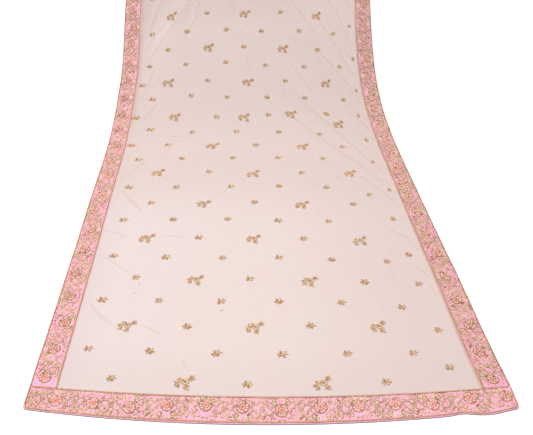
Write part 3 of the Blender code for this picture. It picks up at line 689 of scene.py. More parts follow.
class Drawing:
    """Small solids drawn in flat places: u, v and the height over the cloth, all in metres."""

    def __init__(self):
        self.points = []
        self.faces = {3: [], 4: [], 5: []}
        self.slots = {3: [], 4: [], 5: []}
        self.count = 0

    def add(self, points, faces, slot):
        points = np.asarray(points, float)
        self.points.append(points)
        for corners, some in faces.items():
            if len(some):
                self.faces[corners].append(np.asarray(some, int) + self.count)
                self.slots[corners].append(np.full(len(some), slot))
        self.count += len(points)

    def add_drawing(self, other, move):
        """Another drawing, with its points moved by a function."""
        points = move(np.concatenate(other.points))
        self.points.append(points)
        for corners in self.faces:
            self.faces[corners] += [some + self.count for some in other.faces[corners]]
            self.slots[corners] += other.slots[corners]
        self.count += len(points)

    def thread(self, path, radius, slot, closed=False, taper=True):
        """A fine three-sided cord along a flat path, lying on the cloth."""
        path = np.asarray(path, float)
        if closed:
            run = np.roll(path, -1, axis=0) - np.roll(path, 1, axis=0)
        else:
            run = np.vstack([path[1:], path[-1:]]) - np.vstack([path[:1], path[:-1]])
        reach = np.full(len(path), 1.0) * radius
        if taper and not closed:
            reach[[0, -1]] *= THREAD_TAPER
        turns = math.pi / 2 + circle(3)
        points = np.empty((len(path), 3, 3))
        aside = (square_to(run) * reach[:, None])[:, None, :] * np.cos(turns)[None, :, None]
        points[:, :, :2] = path[:, None, :] + aside * THREAD_SPREAD
        points[:, :, 2] = reach[:, None] * (0.5 + np.sin(turns)[None, :])
        faces = {4: tube(len(path), 3, closed)}
        if not closed:
            faces[3] = [np.arange(3)[::-1], 3 * (len(path) - 1) + np.arange(3)]
        self.add(points.reshape(-1, 3), faces, slot)

    def loop(self, reach, radius, slot):
        """A closed thread round the middle, at a reach for each of its points."""
        turns = circle(len(reach))
        path = np.stack([reach * np.cos(turns), reach * np.sin(turns)], axis=1)
        self.thread(path, radius, slot, closed=True)

    def bead(self, middle, long, wide, height, turn, slot):
        """A rounded bead, long in the direction of turn."""
        self.pile(middle, turn, ((long, wide, 0.0), (long * 0.94, wide * 0.94, 0.45 * height),
                                 (long * 0.55, wide * 0.55, 0.88 * height)), 5, slot, height)

    def stitch(self, middle, long, wide, height, turn, slot):
        """A short raised stitch, plainer than a bead."""
        self.pile(middle, turn, ((long, wide, 0.0), (long * 0.62, wide * 0.55, height)), 4, slot)

    def pile(self, middle, turn, rings, sides, slot, tip=None):
        """A closed solid of oval rings, each as long, wide and high as given, with or without a tip."""
        points = [(long * math.cos(angle), wide * math.sin(angle), height)
                  for long, wide, height in rings for angle in circle(sides)]
        top = (len(rings) - 1) * sides
        faces = {3: [], 4: list(tube(len(rings), sides)), 5: []}
        faces[sides].append(np.arange(sides)[::-1])
        if tip is None:
            faces[sides].append(top + np.arange(sides))
        else:
            points.append((0.0, 0.0, tip))
            faces[3] = [(top + k, top + (k + 1) % sides, len(points) - 1) for k in range(sides)]
        points = np.array(points)
        points[:, :2] = turned(points[:, :2], turn) + np.asarray(middle)
        self.add(points, faces, slot)

    def leaf(self, foot, tip, width, fill, bend=0.0, thickness=0.0006):
        """A leaf from foot to tip, outlined in gold, with a low padded middle."""
        run = tip - foot
        length = np.hypot(*run)
        aside = np.array([-run[1], run[0]]) / length
        share = np.linspace(0.0, 1.0, LEAF_STEPS)
        line = foot + share[:, None] * run + (bend * length * np.sin(math.pi * share))[:, None] * aside
        reach = width * np.sin(math.pi * share ** 0.85) ** 0.8
        one = line + reach[:, None] * aside
        two = line - reach[:, None] * aside
        self.thread(np.vstack([one, two[-2:0:-1]]), thickness, IN_GOLD, closed=True)
        inside = list(zip(line, reach))[1:-1]
        points = [(*(spot + side * wide * aside), height) for spot, wide in inside
                  for side, height in ((-LEAF_FILL, 0.0), (0.0, LEAF_HEIGHT), (LEAF_FILL, 0.0))]
        last = len(points) - 3
        quads = [(k + a, k + b, k + c, k + d) for k in range(0, last, 3)
                 for a, b, c, d in ((3, 4, 1, 0), (4, 5, 2, 1), (2, 5, 3, 0))]
        self.add(points, {4: quads, 3: [(2, 1, 0), (last, last + 1, last + 2)]}, fill)

    def scroll(self, path, gap=0.0026):
        """A curl worked in three: a gold line down each side and a pale one between them."""
        for offset in (gap / 2, -gap / 2):
            self.thread(beside(path, offset), SCROLL_LINE, IN_GOLD)
        self.thread(path[1:-1], gap * SCROLL_FILL, IN_PALE)

    def branch(self, path):
        """A leafy run: a thin stem with short slanting stitches down both its sides."""
        self.thread(path, BRANCH_STEM, IN_GOLD)
        lengths = np.arange(BRANCH_PITCH * 0.6, lengths_along(path)[-1], BRANCH_PITCH / 2)
        for number, (here, way) in enumerate(steps_along(path, lengths, 0.0005)):
            angle = way + (1 if number % 2 else -1) * BRANCH_LEAN
            middle = here + polar(BRANCH_LONG + 0.0004, angle)
            slot = IN_PALE if number % 3 else IN_GOLD
            self.stitch(middle, BRANCH_LONG, BRANCH_WIDE, 0.0011, angle, slot)
        self.stitch(path[-1], BRANCH_LONG, BRANCH_WIDE, 0.0012, way, IN_PALE)

    def fill_in(self, spots, clear, chance, generator):
        """Loose stitches on those of some spots that stand clear of all that is drawn already."""
        drawn = np.concatenate(self.points)[:, :2]
        for spot in spots:
            if np.min(np.hypot(*(drawn - spot).T)) < clear or generator.uniform() > chance:
                continue
            kind = generator.uniform()
            angle = generator.uniform(0, math.tau)
            if kind < 0.12:
                self.bead(spot, 0.0010, 0.0010, 0.0010, angle, IN_PALE)
            elif kind < 0.17:
                self.bead(spot, 0.0011, 0.0011, 0.0006, angle, IN_DARK)
            else:
                self.stitch(spot, 0.0019, 0.0009, 0.0010, angle, IN_PALE if kind < 0.62 else IN_GOLD)


def placing(spot, turn, size=1.0):
    """A function that sizes, turns and shifts a drawing's flat points."""
    return lambda points: np.column_stack([turned(points[:, :2] * size, turn) + spot, points[:, 2]])


def put(name, data, location=(0.0, 0.0, 0.0), tilt=(0.0, 0.0, 0.0)):
    """A new object in the scene, its tilt in degrees."""
    thing = bpy.data.objects.new(name, data)
    thing.location = location
    thing.rotation_euler = [math.radians(angle) for angle in tilt]
    bpy.context.collection.objects.link(thing)
    return thing


def lay_piece(name, drawing, place, lift, materials):
    """Lay a drawing on the cloth as one mesh object."""
    flat = np.concatenate(drawing.points)
    world = place(flat[:, 0], flat[:, 1], lift + flat[:, 2])
    faces, slots = [], []
    for corners in drawing.faces:
        if drawing.faces[corners]:
            faces.extend(np.concatenate(drawing.faces[corners]).tolist())
            slots.append(np.concatenate(drawing.slots[corners]))
    return make_mesh(name, world, faces, flat, materials, np.concatenate(slots))


def make_mesh(name, points, faces, places, materials, slots=None):
    data = bpy.data.meshes.new(name)
    data.from_pydata(points.tolist(), [], faces)
    stored = data.attributes.new("cloth", "FLOAT_VECTOR", "POINT")
    stored.data.foreach_set("vector", np.asarray(places, np.float32).ravel())
    for material in materials:
        data.materials.append(material)
    if slots is not None:
        data.polygons.foreach_set("material_index", np.asarray(slots, np.int32))
    data.polygons.foreach_set("use_smooth", np.ones(len(data.polygons), bool))
    shape = bmesh.new()
    shape.from_mesh(data)
    bmesh.ops.recalc_face_normals(shape, faces=shape.faces)
    shape.to_mesh(data)
    shape.free()
    data.update()
    return put(name, data)


def make_shell(name, lines_u, lines_v, place, top, under, material, third):
    """A closed thin shell over a grid of flat places; third fills the places' third number."""
    u, v = np.meshgrid(lines_u, lines_v, indexing="ij")
    index = np.arange(u.size).reshape(u.shape)
    u, v = u.ravel(), v.ravel()
    corners = (index[:-1, :-1], index[1:, :-1], index[1:, 1:], index[:-1, 1:])
    quads = np.stack([corner.ravel() for corner in corners], axis=-1)
    rim = np.concatenate([index[:, 0], index[-1, 1:], index[-2::-1, -1], index[0, -2:0:-1]])
    ahead = np.roll(rim, -1)
    sides = np.stack([rim + u.size, ahead + u.size, ahead, rim], axis=-1)
    faces = np.vstack([quads, quads[:, ::-1] + u.size, sides])
    flat = np.stack([u, v, third(u, v)], axis=-1)
    world = np.vstack([place(u, v, top(u, v)), place(u, v, under)])
    thing = make_mesh(name, world, faces.tolist(), np.vstack([flat, flat]), [material])
    thing.data.set_sharp_from_angle(angle=math.radians(50))
    return thing


def spaced(low, high, step):
    return np.linspace(low, high, max(2, int(round((high - low) / step)) + 1))


def long_lines():
    """Places along the net in metres from row 0, closer together where it bends over the rod."""
    start = WRAP_ROW * ROW
    end = start + WRAP_LENGTH
    return np.concatenate([spaced(FIRST_NET_ROW * ROW, start, GRID_STEP)[:-1],
                           spaced(start, end, WRAP_STEP)[:-1], spaced(end, LAST_NET_ROW * ROW, GRID_STEP)])


# ---- the cloth ----

def make_net():
    left, right = FIELD_LEFT * COLUMN, FIELD_RIGHT * COLUMN
    return make_shell("net_cloth", spaced(left, right, GRID_STEP), long_lines(), on_net,
                      lambda u, v: NET_TOP, NET_UNDER, NET, lambda u, v: np.minimum(u - left, right - u))


# A pressed crease's thread: its radius beside the crease's height, its least radius and its flatness.
PRESS_SHARE, PRESS_LEAST, PRESS_FLAT = 1.75, 0.0004, 0.3


def make_creases():
    """The fine creases' doubled net: a narrow flat fold along each."""
    folds = Drawing()
    for crease in CREASES:
        path = through(np.array(crease.places) * (COLUMN, ROW), step=0.012)
        share = np.linspace(0.0, 1.0, len(path))
        radius = PRESS_SHARE * crease.height * np.sin(math.pi * share) ** 0.6 + PRESS_LEAST
        folds.thread(path, radius, 0)
    pressed = Drawing()
    pressed.add_drawing(folds, lambda points: points * (1.0, 1.0, PRESS_FLAT))
    return lay_piece("net_creases", pressed, on_net, NET_TOP, [CREASED])


BORDER_LINES = np.append(tenths(0, 4, 10, 18, 30, 63, 120, 200, 283, 360, 440, 500, 540, 556, 562), BORDER)
HEM_ROLL, HEM_HEIGHT = 0.0018, 0.0003
INNER_FALL, INNER_SHARE = 0.0010, 0.45
PUCKER, PUCKER_RISE = 0.00018, 0.006


def border_height(inward, other):
    """Height of the satin: rolled down at the hem, low at the inner edge and puckered between."""
    reach = np.clip(1 - inward / HEM_ROLL, 0.0, 1.0)
    rolled = (SATIN_TOP - SATIN_UNDER - HEM_HEIGHT) * np.sqrt(np.maximum(1 - reach ** 2, 0.0))
    hem = SATIN_UNDER + HEM_HEIGHT + rolled
    from_inner = np.clip((BORDER - inward) / INNER_FALL, 0.0, 1.0)
    body = np.clip(np.minimum(inward, BORDER - inward) / PUCKER_RISE, 0.0, 1.0)
    pucker = PUCKER * (np.sin(410 * inward + 95 * other) + np.sin(230 * other - 160 * inward + 1.3)
                       + np.sin(590 * other + 2.1))
    return SATIN_UNDER + (hem - SATIN_UNDER) * (INNER_SHARE + (1 - INNER_SHARE) * from_inner) + body * pucker


def make_side_satin(side):
    return make_shell("satin_" + side, BORDER_LINES, long_lines() - FIRST_NET_ROW * ROW, on_side(side),
                      border_height, SATIN_UNDER, SATINS[side], lambda u, v: BORDER - u)


def make_end_satin(end):
    corner = CORNER_RADIUS * (1 - np.cos(np.radians((0, 15, 30, 45, 60, 75))))
    places = np.concatenate([corner, spaced(CORNER_RADIUS, END_WIDTH - CORNER_RADIUS, GRID_STEP),
                             END_WIDTH - corner[::-1]])
    return make_shell("satin_" + end, places, BORDER_LINES, on_end(end), lambda u, v: border_height(v, u),
                      SATIN_UNDER, SATINS["left"], lambda u, v: BORDER - v)


# ---- edging cords ----

CORD_STEP = 0.0021
CORD_LIFT = SATIN_TOP - 0.0002
CORE_RADIUS, CORE_STEP = 0.0017, 0.006
# A cord's stitches: how long, wide and high, how unevenly long, and how far they slant.
TWIST_LONG, TWIST_WIDE, TWIST_HIGH, TWIST_UNEVEN = 0.00255, 0.00125, 0.0024, 0.00012
TWIST_SLANT = math.radians(50)
PATH_STEP = 0.004
SIDE_WOBBLE, INNER_WOBBLE, HEM_WOBBLE = 0.00016, 0.00020, 0.00025
INNER_CORD = BORDER - CORD_MARGIN - CORD_WIDTH / 2
# The two colours of each side's outer and inner cord; the right outer cord is all in the darker gold as
# painted shade, for the edge that faces away from the light.
SIDE_CORDS = {"left": ((IN_ROPE, IN_GOLD), (IN_ROPE, IN_ROPE)),
              "right": ((IN_GOLD, IN_GOLD), (IN_ROPE, IN_GOLD))}


def draw_cord(drawing, path, core=IN_ROPE, second=IN_GOLD):
    """A twisted cord: a flat core with slanting stitches over it, of its own and a second colour."""
    length = lengths_along(path)[-1]
    line = at_lengths(path, np.linspace(0.0, length, max(2, int(length / CORE_STEP)) + 1))
    drawing.thread(line, CORE_RADIUS, core, taper=False)
    middles = np.arange(CORD_STEP / 2, length, CORD_STEP)
    for number, (spot, way) in enumerate(steps_along(path, middles, CORD_STEP / 2)):
        long = TWIST_LONG + TWIST_UNEVEN * math.sin(number * 1.7)
        slot = core if number % 2 else second
        drawing.stitch(spot, long, TWIST_WIDE, TWIST_HIGH, way + TWIST_SLANT, slot)


def wobble(values, size, phase):
    """A hand-sewn line's slight unevenness."""
    return size * (np.sin(values * 61 + phase) + 0.7 * np.sin(values * 143 + 2 * phase)
                   + 0.4 * np.sin(values * 307))


def make_side_cords(side, phase):
    drawing = Drawing()
    along = np.arange(0.001, SIDE_LENGTH - 0.001, PATH_STEP)
    for inward, colours in zip((CORD_WIDTH / 2, INNER_CORD), SIDE_CORDS[side]):
        path = np.stack([inward + wobble(along, SIDE_WOBBLE, phase + inward * 90), along], axis=1)
        draw_cord(drawing, path, *colours)
    return lay_piece("cords_" + side, drawing, on_side(side), CORD_LIFT, MATERIALS)


def make_end_cords(end, phase):
    drawing = Drawing()
    edge, outer = CORD_WIDTH / 2, HEM_MARGIN + CORD_WIDTH / 2
    along = np.arange(0.003, END_WIDTH - 0.003, PATH_STEP)
    draw_cord(drawing, np.stack([along, INNER_CORD + wobble(along, INNER_WOBBLE, phase)], axis=1))
    bottom = np.arange(edge + PATH_STEP, END_WIDTH - edge - PATH_STEP, PATH_STEP)
    up = np.arange(outer + 0.003, INNER_CORD - 0.002, PATH_STEP)
    left, right = [np.stack([side + 0 * up, up], axis=1) for side in (edge, END_WIDTH - edge)]
    hem = np.stack([bottom, outer + wobble(bottom, HEM_WOBBLE, phase + 1)], axis=1)
    draw_cord(drawing, np.vstack([left[::-1], hem, right]))
    return lay_piece("cords_" + end, drawing, on_end(end), CORD_LIFT, MATERIALS)


# ---- border embroidery: places in tenths of a millimetre, bends in hundredths ----

PETALS = 12
STEM = ((-230, 30), (-165, 88), (-85, 90), (0, 0), (85, -90), (165, -88), (230, -30))
CURL_IN = ((-30, 30), (-45, -80), (-98, -150), (-172, -150), (-215, -92), (-185, -30), (-128, -32),
           (-108, -76), (-142, -100))
CURL_OUT = ((40, 168), (8, 125), (48, 88), (92, 122), (80, 172), (110, 215))
BRANCHES = (((-110, -222), (-200, -226), (-300, -222)), ((150, 110), (200, 160), (300, 172)))
CORNER_CURL = ((175, 12), (130, 22), (95, 62), (105, 112), (148, 118), (156, 78), (130, 70))
# Leaves: where the foot is, where the tip is, the width and the bend.
VINE_LEAVES = (
    (-42, -118, 30, -205, 26, 12), (-100, -168, -60, -228, 21, -10), (-192, -150, -285, -200, 26, 14),
    (-232, -70, -300, -135, 20, 10), (-180, 108, -275, 178, 26, -12), (-138, 112, -165, 212, 23, 10),
    (-70, 106, -35, 205, 26, -12), (-12, 50, 66, 40, 19, 12), (-215, 40, -165, 0, 18, 12),
    (-295, 205, -355, 190, 19, 10),
)
CORNER_LEAVES = (
    (90, 60, 52, 2, 21, 12), (88, 85, 48, 75, 19, -10), (92, 118, 50, 150, 23, 12),
    (120, 132, 98, 188, 21, -12), (158, 30, 185, 62, 18, 10),
)
VINE_LEAF_THREAD = 0.00052
# How far hand work sets a scroll's places aside, and how far scrolls follow their flowers up or down.
SHAKE = 0.0006
FOLLOW = 0.35
# Loose stitches keep this far from a flower's middle, and this far from threads; some are left out.
FLOWER_CLEAR, VINE_CLEAR, VINE_CHANCE = 0.0150, 0.0018, 0.78
CORNER_CLEAR, CORNER_CHANCE = 0.0017, 0.85
# Loose stitches past a side border's first and last flower: along, inward and kind.
CORNER_SPECKS = (
    (-150, -160, IN_DARK), (-20, -185, IN_DARK), (-135, 150, IN_DARK), (-172, 20, IN_GOLD),
    (90, -180, IN_GOLD), (30, 185, IN_DARK), (-190, -80, IN_GOLD), (112, 165, IN_GOLD),
    (140, 190, IN_PALE), (78, 190, IN_PALE), (-195, 120, IN_GOLD), (-68, 182, IN_GOLD),
)
# Where an end border's first scrolls start and how long they are, and where loose stitches fill its
# corners: from and to along it, and how far in from its two edges.
CORNER_RUN = (0.0032, 0.0580)
CORNER_REACH, CORNER_MARGIN = (0.0066, 0.0230), 0.0070
SPOT_PITCH = 0.0031


def draw_flower():
    """A round flower: a coral middle with a dark bead, a ring of pale petals and gold outlines."""
    drawing = Drawing()
    for angle in circle(8):
        drawing.bead(polar(0.0038, angle), 0.0021, 0.0014, 0.0018, angle, IN_CORAL)
    drawing.bead((0.0, 0.0), 0.0013, 0.0013, 0.0021, 0.0, IN_DARK)
    drawing.loop(np.full(18, 0.0065), 0.0007, IN_GOLD)
    for number, angle in enumerate(circle(PETALS)):
        long, slot = (0.0017, IN_GOLD) if number % 4 == 3 else (0.0025, IN_PALE)
        drawing.bead(polar(0.0096, angle), long, 0.0019, 0.0023, angle, slot)
        between = angle + math.pi / PETALS
        drawing.stitch(polar(0.0104, between), 0.0022, 0.0008, 0.0012, between, IN_GOLD)
    drawing.loop(0.0127 + 0.0006 * np.cos(circle(3 * PETALS) * PETALS), 0.0010, IN_GOLD)
    return drawing


def draw_vine(generator):
    """The scrolls and leaves between two flowers one pitch apart, from 0 to END_PITCH along u."""
    half = END_PITCH / 2

    def shaken(places):
        return places + generator.uniform(-SHAKE, SHAKE, places.shape)

    drawing = Drawing()
    drawing.scroll(through(shaken(tenths(*STEM))) + (half, 0.0))
    for sense in (1.0, -1.0):
        def there(places, sense=sense):
            return shaken(tenths(*places)) * sense + (half, 0.0)

        drawing.scroll(through(there(CURL_IN)), gap=0.0023)
        for *ends, width, bend in VINE_LEAVES:
            foot, tip = there((ends[:2], ends[2:]))
            wide = width / 10000 * generator.uniform(0.72, 0.92)
            fill = IN_PALE if generator.uniform() < 0.8 else IN_GOLD
            drawing.leaf(foot, tip, wide, fill, bend / 100, VINE_LEAF_THREAD)
        drawing.scroll(through(there(CURL_OUT)), gap=0.0021)
        for places in BRANCHES:
            drawing.branch(through(there(places)))
    spots = np.array([((column + 0.5 * (row % 2)) * SPOT_PITCH, row * SPOT_PITCH * 0.87)
                      for column in range(-13, 14) for row in range(-9, 10)])
    spots = [shaken(spot) for spot in spots]
    spots = [spot + (half, 0.0) for spot in spots if abs(spot[0]) < half
             and min(np.hypot(*(spot - (half, 0))), np.hypot(*(spot + (half, 0)))) > FLOWER_CLEAR]
    drawing.fill_in(spots, VINE_CLEAR, VINE_CHANCE, generator)
    return drawing


def between_spots(start, end, sense):
    """A function that lays scrolls along a border from one spot to the next."""
    def move(points):
        share = points[:, 0] / END_PITCH
        shift = (start[1] - BORDER / 2) * (1 - share) + (end[1] - BORDER / 2) * share
        return np.stack([start[0] + share * (end[0] - start[0]),
                         BORDER / 2 + sense * points[:, 1] + FOLLOW * shift, points[:, 2]], axis=1)

    return move


def draw_border(spots, generator):
    """Flowers at some spots, and scrolls between each two, by turns one way up and the other."""
    drawing, flower = Drawing(), draw_flower()
    vines = [draw_vine(generator) for _ in range(4)]
    for number, spot in enumerate(spots):
        drawing.add_drawing(flower, placing(spot, 0.7 * number))
    for number, (start, end) in enumerate(zip(spots[:-1], spots[1:])):
        move = between_spots(start, end, 1.0 if number % 2 else -1.0)
        drawing.add_drawing(vines[number % len(vines)], move)
    return drawing, vines


def make_side_work(side, seed):
    """A side border's embroidery: the measured flowers, then an even run of them, and their scrolls."""
    rows, shifts = map(list, zip(*SIDE_FLOWERS[side]))
    last_row = LAST_NET_ROW - FIRST_SIDE_FLOWER / ROW
    rest = int(round((last_row - rows[-1]) * ROW / END_PITCH))
    rows += list(np.linspace(rows[-1], last_row, rest + 1)[1:])
    shifts += shifts[:rest]
    spots = [((row - FIRST_NET_ROW) * ROW, BORDER / 2 + shift / 1000) for row, shift in zip(rows, shifts)]
    drawing, _ = draw_border(np.array(spots), np.random.default_rng(seed))
    for along, inward, kind in CORNER_SPECKS:
        along, inward = tenths(along, inward)
        for start, sense in ((spots[0][0], 1), (spots[-1][0], -1)):
            spot = (start + sense * along, BORDER / 2 + inward)
            drawing.stitch(spot, 0.0016, 0.0011, 0.0009, along * 400, kind)
    # Drawn along u like an end border, so u and v change places and the faces turn round to face out.
    drawing.points = [points[:, [1, 0, 2]] for points in drawing.points]
    for corners, faces in drawing.faces.items():
        drawing.faces[corners] = [some[:, ::-1] for some in faces]
    return lay_piece("embroidery_" + side, drawing, on_side(side), SATIN_TOP, MATERIALS)


def draw_corner(drawing):
    """Small scrolls and leaves in the first corner of an end border."""
    for sense in (1.0, -1.0):
        def there(places, sense=sense):
            return tenths(*places) * (1.0, sense) + (0.0, BORDER / 2)

        drawing.scroll(through(there(CORNER_CURL)), gap=0.0022)
        for *ends, width, bend in CORNER_LEAVES:
            foot, tip = there((ends[:2], ends[2:]))
            drawing.leaf(foot, tip, width / 10000 * 0.85, IN_PALE, bend / 100 * sense, VINE_LEAF_THREAD)


def make_end_work(end, seed):
    """An end border's embroidery, with its corners filled past the first and last flower."""
    generator = np.random.default_rng(seed)
    left = SECTIONS[0].left
    spots = [((place - left) * COLUMN, BORDER / 2 + inward / 1000) for place, inward in END_FLOWERS]
    drawing, vines = draw_border(np.array(spots), generator)
    start, length = CORNER_RUN
    drawing.add_drawing(vines[0], lambda points: np.stack([
        start + points[:, 0] / END_PITCH * length, BORDER / 2 + points[:, 1], points[:, 2]], axis=1))
    draw_corner(drawing)
    inward, along = np.meshgrid(np.arange(CORNER_MARGIN, BORDER - CORNER_MARGIN, SPOT_PITCH),
                                np.arange(*CORNER_REACH, SPOT_PITCH))
    first = np.stack([along.ravel() + 0.0006 * np.cos(inward.ravel() * 900), inward.ravel()], axis=1)
    both = np.vstack([first, first * (-1.0, 1.0) + (END_WIDTH, 0.0)])
    drawing.fill_in(both, CORNER_CLEAR, CORNER_CHANCE, generator)
    return lay_piece("embroidery_" + end, drawing, on_end(end), SATIN_TOP, MATERIALS)


# ---- sprigs, also in tenths of a millimetre ----

# Leaves: where the foot is, where the tip is and the width.
SMALL_LEAVES = (
    (0, 4, 122, 10, 22), (-10, 20, 66, 80, 23), (-42, 28, -52, 92, 22),
    (-8, -16, 56, -76, 25), (-50, -22, -62, -82, 23), (-68, 0, -120, -12, 24),
)
ROSETTE, STAR, LOW_CLUSTER = tenths(87, 10), tenths(112, 92), tenths(34, -116)
CURL = tenths((-82, 40), (-130, 36), (-158, -10), (-164, -70), (-158, -135))
# The curl's lines of beads in metres: how far each is from its middle, a bead's length and the shades.
CURL_LINES = (
    (-0.0038, 0.0022, (IN_GOLD, IN_GOLD, IN_GOLD, IN_PALE)), (-0.0012, 0.0018, (IN_PALE, IN_GOLD)),
    (0.0014, 0.0018, (IN_GOLD, IN_PALE)), (0.0039, 0.0020, (IN_GOLD, IN_GOLD, IN_PALE, IN_GOLD)),
)
# Petals: an angle in degrees and a length.
STAR_PETALS = ((46, 94), (108, 76), (172, 58), (-10, 90), (-72, 70))
LOW_PETALS = ((-46, 100), (-98, 78), (-150, 82), (18, 78), (92, 50))


def draw_small_sprig(generator):
    """A small flower seen from one side: a beaded knot, a long leaf and shorter ones round it."""
    drawing = Drawing()
    for *ends, width in SMALL_LEAVES:
        foot, tip = tenths(ends[:2], ends[2:]) + generator.uniform(-0.0009, 0.0009, (2, 2))
        fill = IN_PALE if generator.uniform() < 0.45 else IN_GOLD
        drawing.leaf(foot, tip, width / 10000, fill, generator.uniform(-0.14, 0.14))
    drawing.bead((-0.0010, 0.0002), 0.0052, 0.0036, 0.0010, 0.0, IN_GOLD)
    knot = tenths(-36, 3) + generator.uniform(-0.0006, 0.0006, 2)
    drawing.bead(knot, 0.0014, 0.0014, 0.0021, 0.0, IN_DARK)
    for number in range(6):
        angle = math.tau * (number + 0.3) / 6
        slot = IN_GOLD if number % 3 else IN_PALE
        drawing.bead(knot + polar(0.0028, angle), 0.0013, 0.0012, 0.0018, angle, slot)
    return drawing


def draw_large_sprig(generator):
    """A large spray: a rosette of lumps, a drooping curled leaf, a small star flower and a low bud."""
    drawing = Drawing()

    def beads_round(middle, count, radius, long, wide, height, shades):
        for number in range(count):
            angle = math.tau * number / count + generator.uniform(-0.12, 0.12)
            shade = shades[number % len(shades)]
            drawing.bead(middle + polar(radius, angle), long, wide, height, angle, shade)

    def petals_round(middle, petals):
        for degrees, length in petals:
            angle = math.radians(degrees + generator.uniform(-10, 10))
            reach = length / 10000 * generator.uniform(0.9, 1.1)
            run = polar(1.0, angle) * reach
            drawing.bead(middle + run * 0.60, reach * 0.40, 0.0024, 0.0020, angle, IN_GOLD)
            drawing.bead(middle + run * 0.62, 0.0014, 0.0009, 0.0027, angle, IN_PALE)
        drawing.bead(middle, 0.0017, 0.0017, 0.0022, 0.0, IN_GOLD)

    def beaded(path, long, wide, shades, first=0):
        for number, (spot, way) in enumerate(zip(path, np.gradient(path, axis=0))):
            angle = math.atan2(way[1], way[0]) + generator.uniform(0.2, 0.9)
            drawing.bead(spot, long, wide, 0.0021, angle, shades[(number + first) % len(shades)])

    rosette = ROSETTE + generator.uniform(-0.0006, 0.0006, 2)
    beads_round(rosette, 13, 0.0073, 0.0013, 0.0016, 0.0017, (IN_GOLD,))
    beads_round(rosette, 7, 0.0048, 0.0022, 0.0017, 0.0026, (IN_PALE, IN_PALE, IN_PALE, IN_GOLD))
    beads_round(rosette, 4, 0.0022, 0.0012, 0.0010, 0.0022, (IN_GOLD,))
    drawing.bead(rosette, 0.0013, 0.0013, 0.0024, 0.0, IN_DARK)
    curl = through(CURL + rosette + generator.uniform(-0.0010, 0.0010, CURL.shape), step=0.0031)
    for offset, long, shades in CURL_LINES:
        beaded(beside(curl, offset), long, 0.72 * long, shades, generator.integers(4))
    tail = curl[len(curl) // 2] + (-0.0050, 0.0)
    drawing.leaf(tail, tail + (-0.0044, -0.0008), 0.0011, IN_PALE, thickness=0.0004)
    star = rosette + STAR + generator.uniform(-0.0008, 0.0008, 2)
    petals_round(star, STAR_PETALS)
    beaded(through([rosette + (0.0062, 0.0046), star], step=0.0026)[:-1], 0.0013, 0.0010, (IN_GOLD,))
    low = rosette + LOW_CLUSTER + generator.uniform(-0.0036, 0.0036) * np.array((1.0, 0.0))
    petals_round(low, LOW_PETALS)
    return drawing


def sprig_places():
    """Places of the small and of the large sprigs, as columns and rows."""
    small, large = list(STRAY_SMALL), list(STRAY_LARGE)
    for row in np.arange(0.0, LAST_ROW + 0.5, 0.5):
        if row == EMPTY_ROW:
            continue
        turn = row if row < EMPTY_ROW else LAST_ROW - row
        for number, column in enumerate(np.arange(-2.5, 3.0) if row % 1 else np.arange(-2.0, 3.0)):
            if (column, row) in EMPTY_PLACES:
                continue
            aside, along = [shifts[number] for shifts in HAND_SETS[row]] if row in HAND_SETS else (0, 0)
            kind = large if row % 1 == 0 and (column + turn) % 2 == 1 else small
            kind.append((column + aside / 1000, row + along / 1000))
    return small, large


def make_sprigs(name, places, draw, kinds, seed, whole_size, specks=()):
    generator = np.random.default_rng(seed)
    drawings = [draw(generator) for _ in range(kinds)]
    whole = Drawing()
    for number, (column, row) in enumerate(places):
        turn = generator.uniform(-0.16, 0.16)
        size = generator.uniform(0.94, 1.06) * whole_size
        whole.add_drawing(drawings[number % kinds], placing((column * COLUMN, row * ROW), turn, size))
    for column, row, long in specks:
        whole.stitch((column * COLUMN, row * ROW), long, 0.0012, 0.0010, 0.2, IN_GOLD)
    return lay_piece(name, whole, on_net, NET_TOP, SPRIG_MATERIALS)


# ---- assembly ----

def make_camera():
    data = bpy.data.cameras.new("camera")
    data.sensor_width = 36.0
    data.lens = 37.01
    data.shift_x, data.shift_y = -0.00094, 0.00094
    bpy.context.scene.camera = put("camera", data, (0.06215, -2.42241, 0.45348), (48.1, 0.0, 0.0))


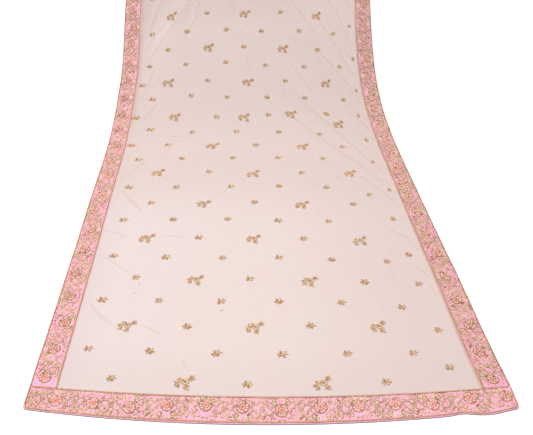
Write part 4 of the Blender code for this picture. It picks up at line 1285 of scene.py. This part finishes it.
def make_studio():
    """A plain pale floor and plain soft light."""
    world = bpy.data.worlds.new("studio")
    bpy.context.scene.world = world
    world.use_nodes = True
    background = world.node_tree.nodes["Background"]
    background.inputs["Color"].default_value = (1.0, 1.0, 1.0, 1.0)
    background.inputs["Strength"].default_value = 0.525
    bpy.context.scene.view_settings.view_transform = "Standard"
    sun = bpy.data.lights.new("key", "SUN")
    sun.energy, sun.angle = 2.46, math.radians(50)
    put("key", sun, tilt=(-13, -3, 0))
    lamp = bpy.data.lights.new("fill", "AREA")
    lamp.energy, lamp.size = 11.0, 2.0
    put("fill", lamp, (-1.5, -1.7, FLOOR + 1.7), (22, -38, 0))
    shader = Shader("floor")
    mottle = shader.noise(shader.node("ShaderNodeTexCoord").outputs["Object"], 3.0)
    shader.set(Base_Color=shader.blend(mottle, (0.90, 0.90, 0.90), (0.94, 0.94, 0.94)), Roughness=0.9,
               Emission_Color=(1.0, 1.0, 1.0), Emission_Strength=0.12)
    data = bpy.data.meshes.new("floor")
    reach = 7.0
    corners = [(-reach, -reach, 0.0), (reach, -reach, 0.0), (reach, reach, 0.0), (-reach, reach, 0.0)]
    data.from_pydata(corners, [], [(0, 1, 2, 3)])
    data.materials.append(shader.material)
    floor = put("floor", data, (0.0, 0.0, FLOOR - 0.0003))


def ride(piece, replaced=None):
    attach(piece, "root")
    if replaced:
        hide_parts(replaced)
    return piece


def build():
    make_camera()
    make_studio()
    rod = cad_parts["hanging_rod"].data
    rod.materials.clear()
    rod.materials.append(make_wood_material())
    net = ride(make_net(), "net_field")
    small, large = sprig_places()
    sprigs = [ride(make_sprigs("small_sprigs", small, draw_small_sprig, 5, 11, 0.93, SPECKS)),
              ride(make_sprigs("large_sprigs", large, draw_large_sprig, 4, 12, 0.95))]
    ride(make_creases())
    for side, phase, seed in (("left", 0.4, 21), ("right", 2.3, 22)):
        satin = ride(make_side_satin(side), "border_" + side)
        cords = ride(make_side_cords(side, phase))
        work = ride(make_side_work(side, seed))
    for end, held, phase, seed in (("near_end", "laid", 1.1, 23), ("far_end", "hung", 3.0, 24)):
        satin = ride(make_end_satin(end), "border_" + end)
        cords = ride(make_end_cords(end, phase))
        work = ride(make_end_work(end, seed))


build()
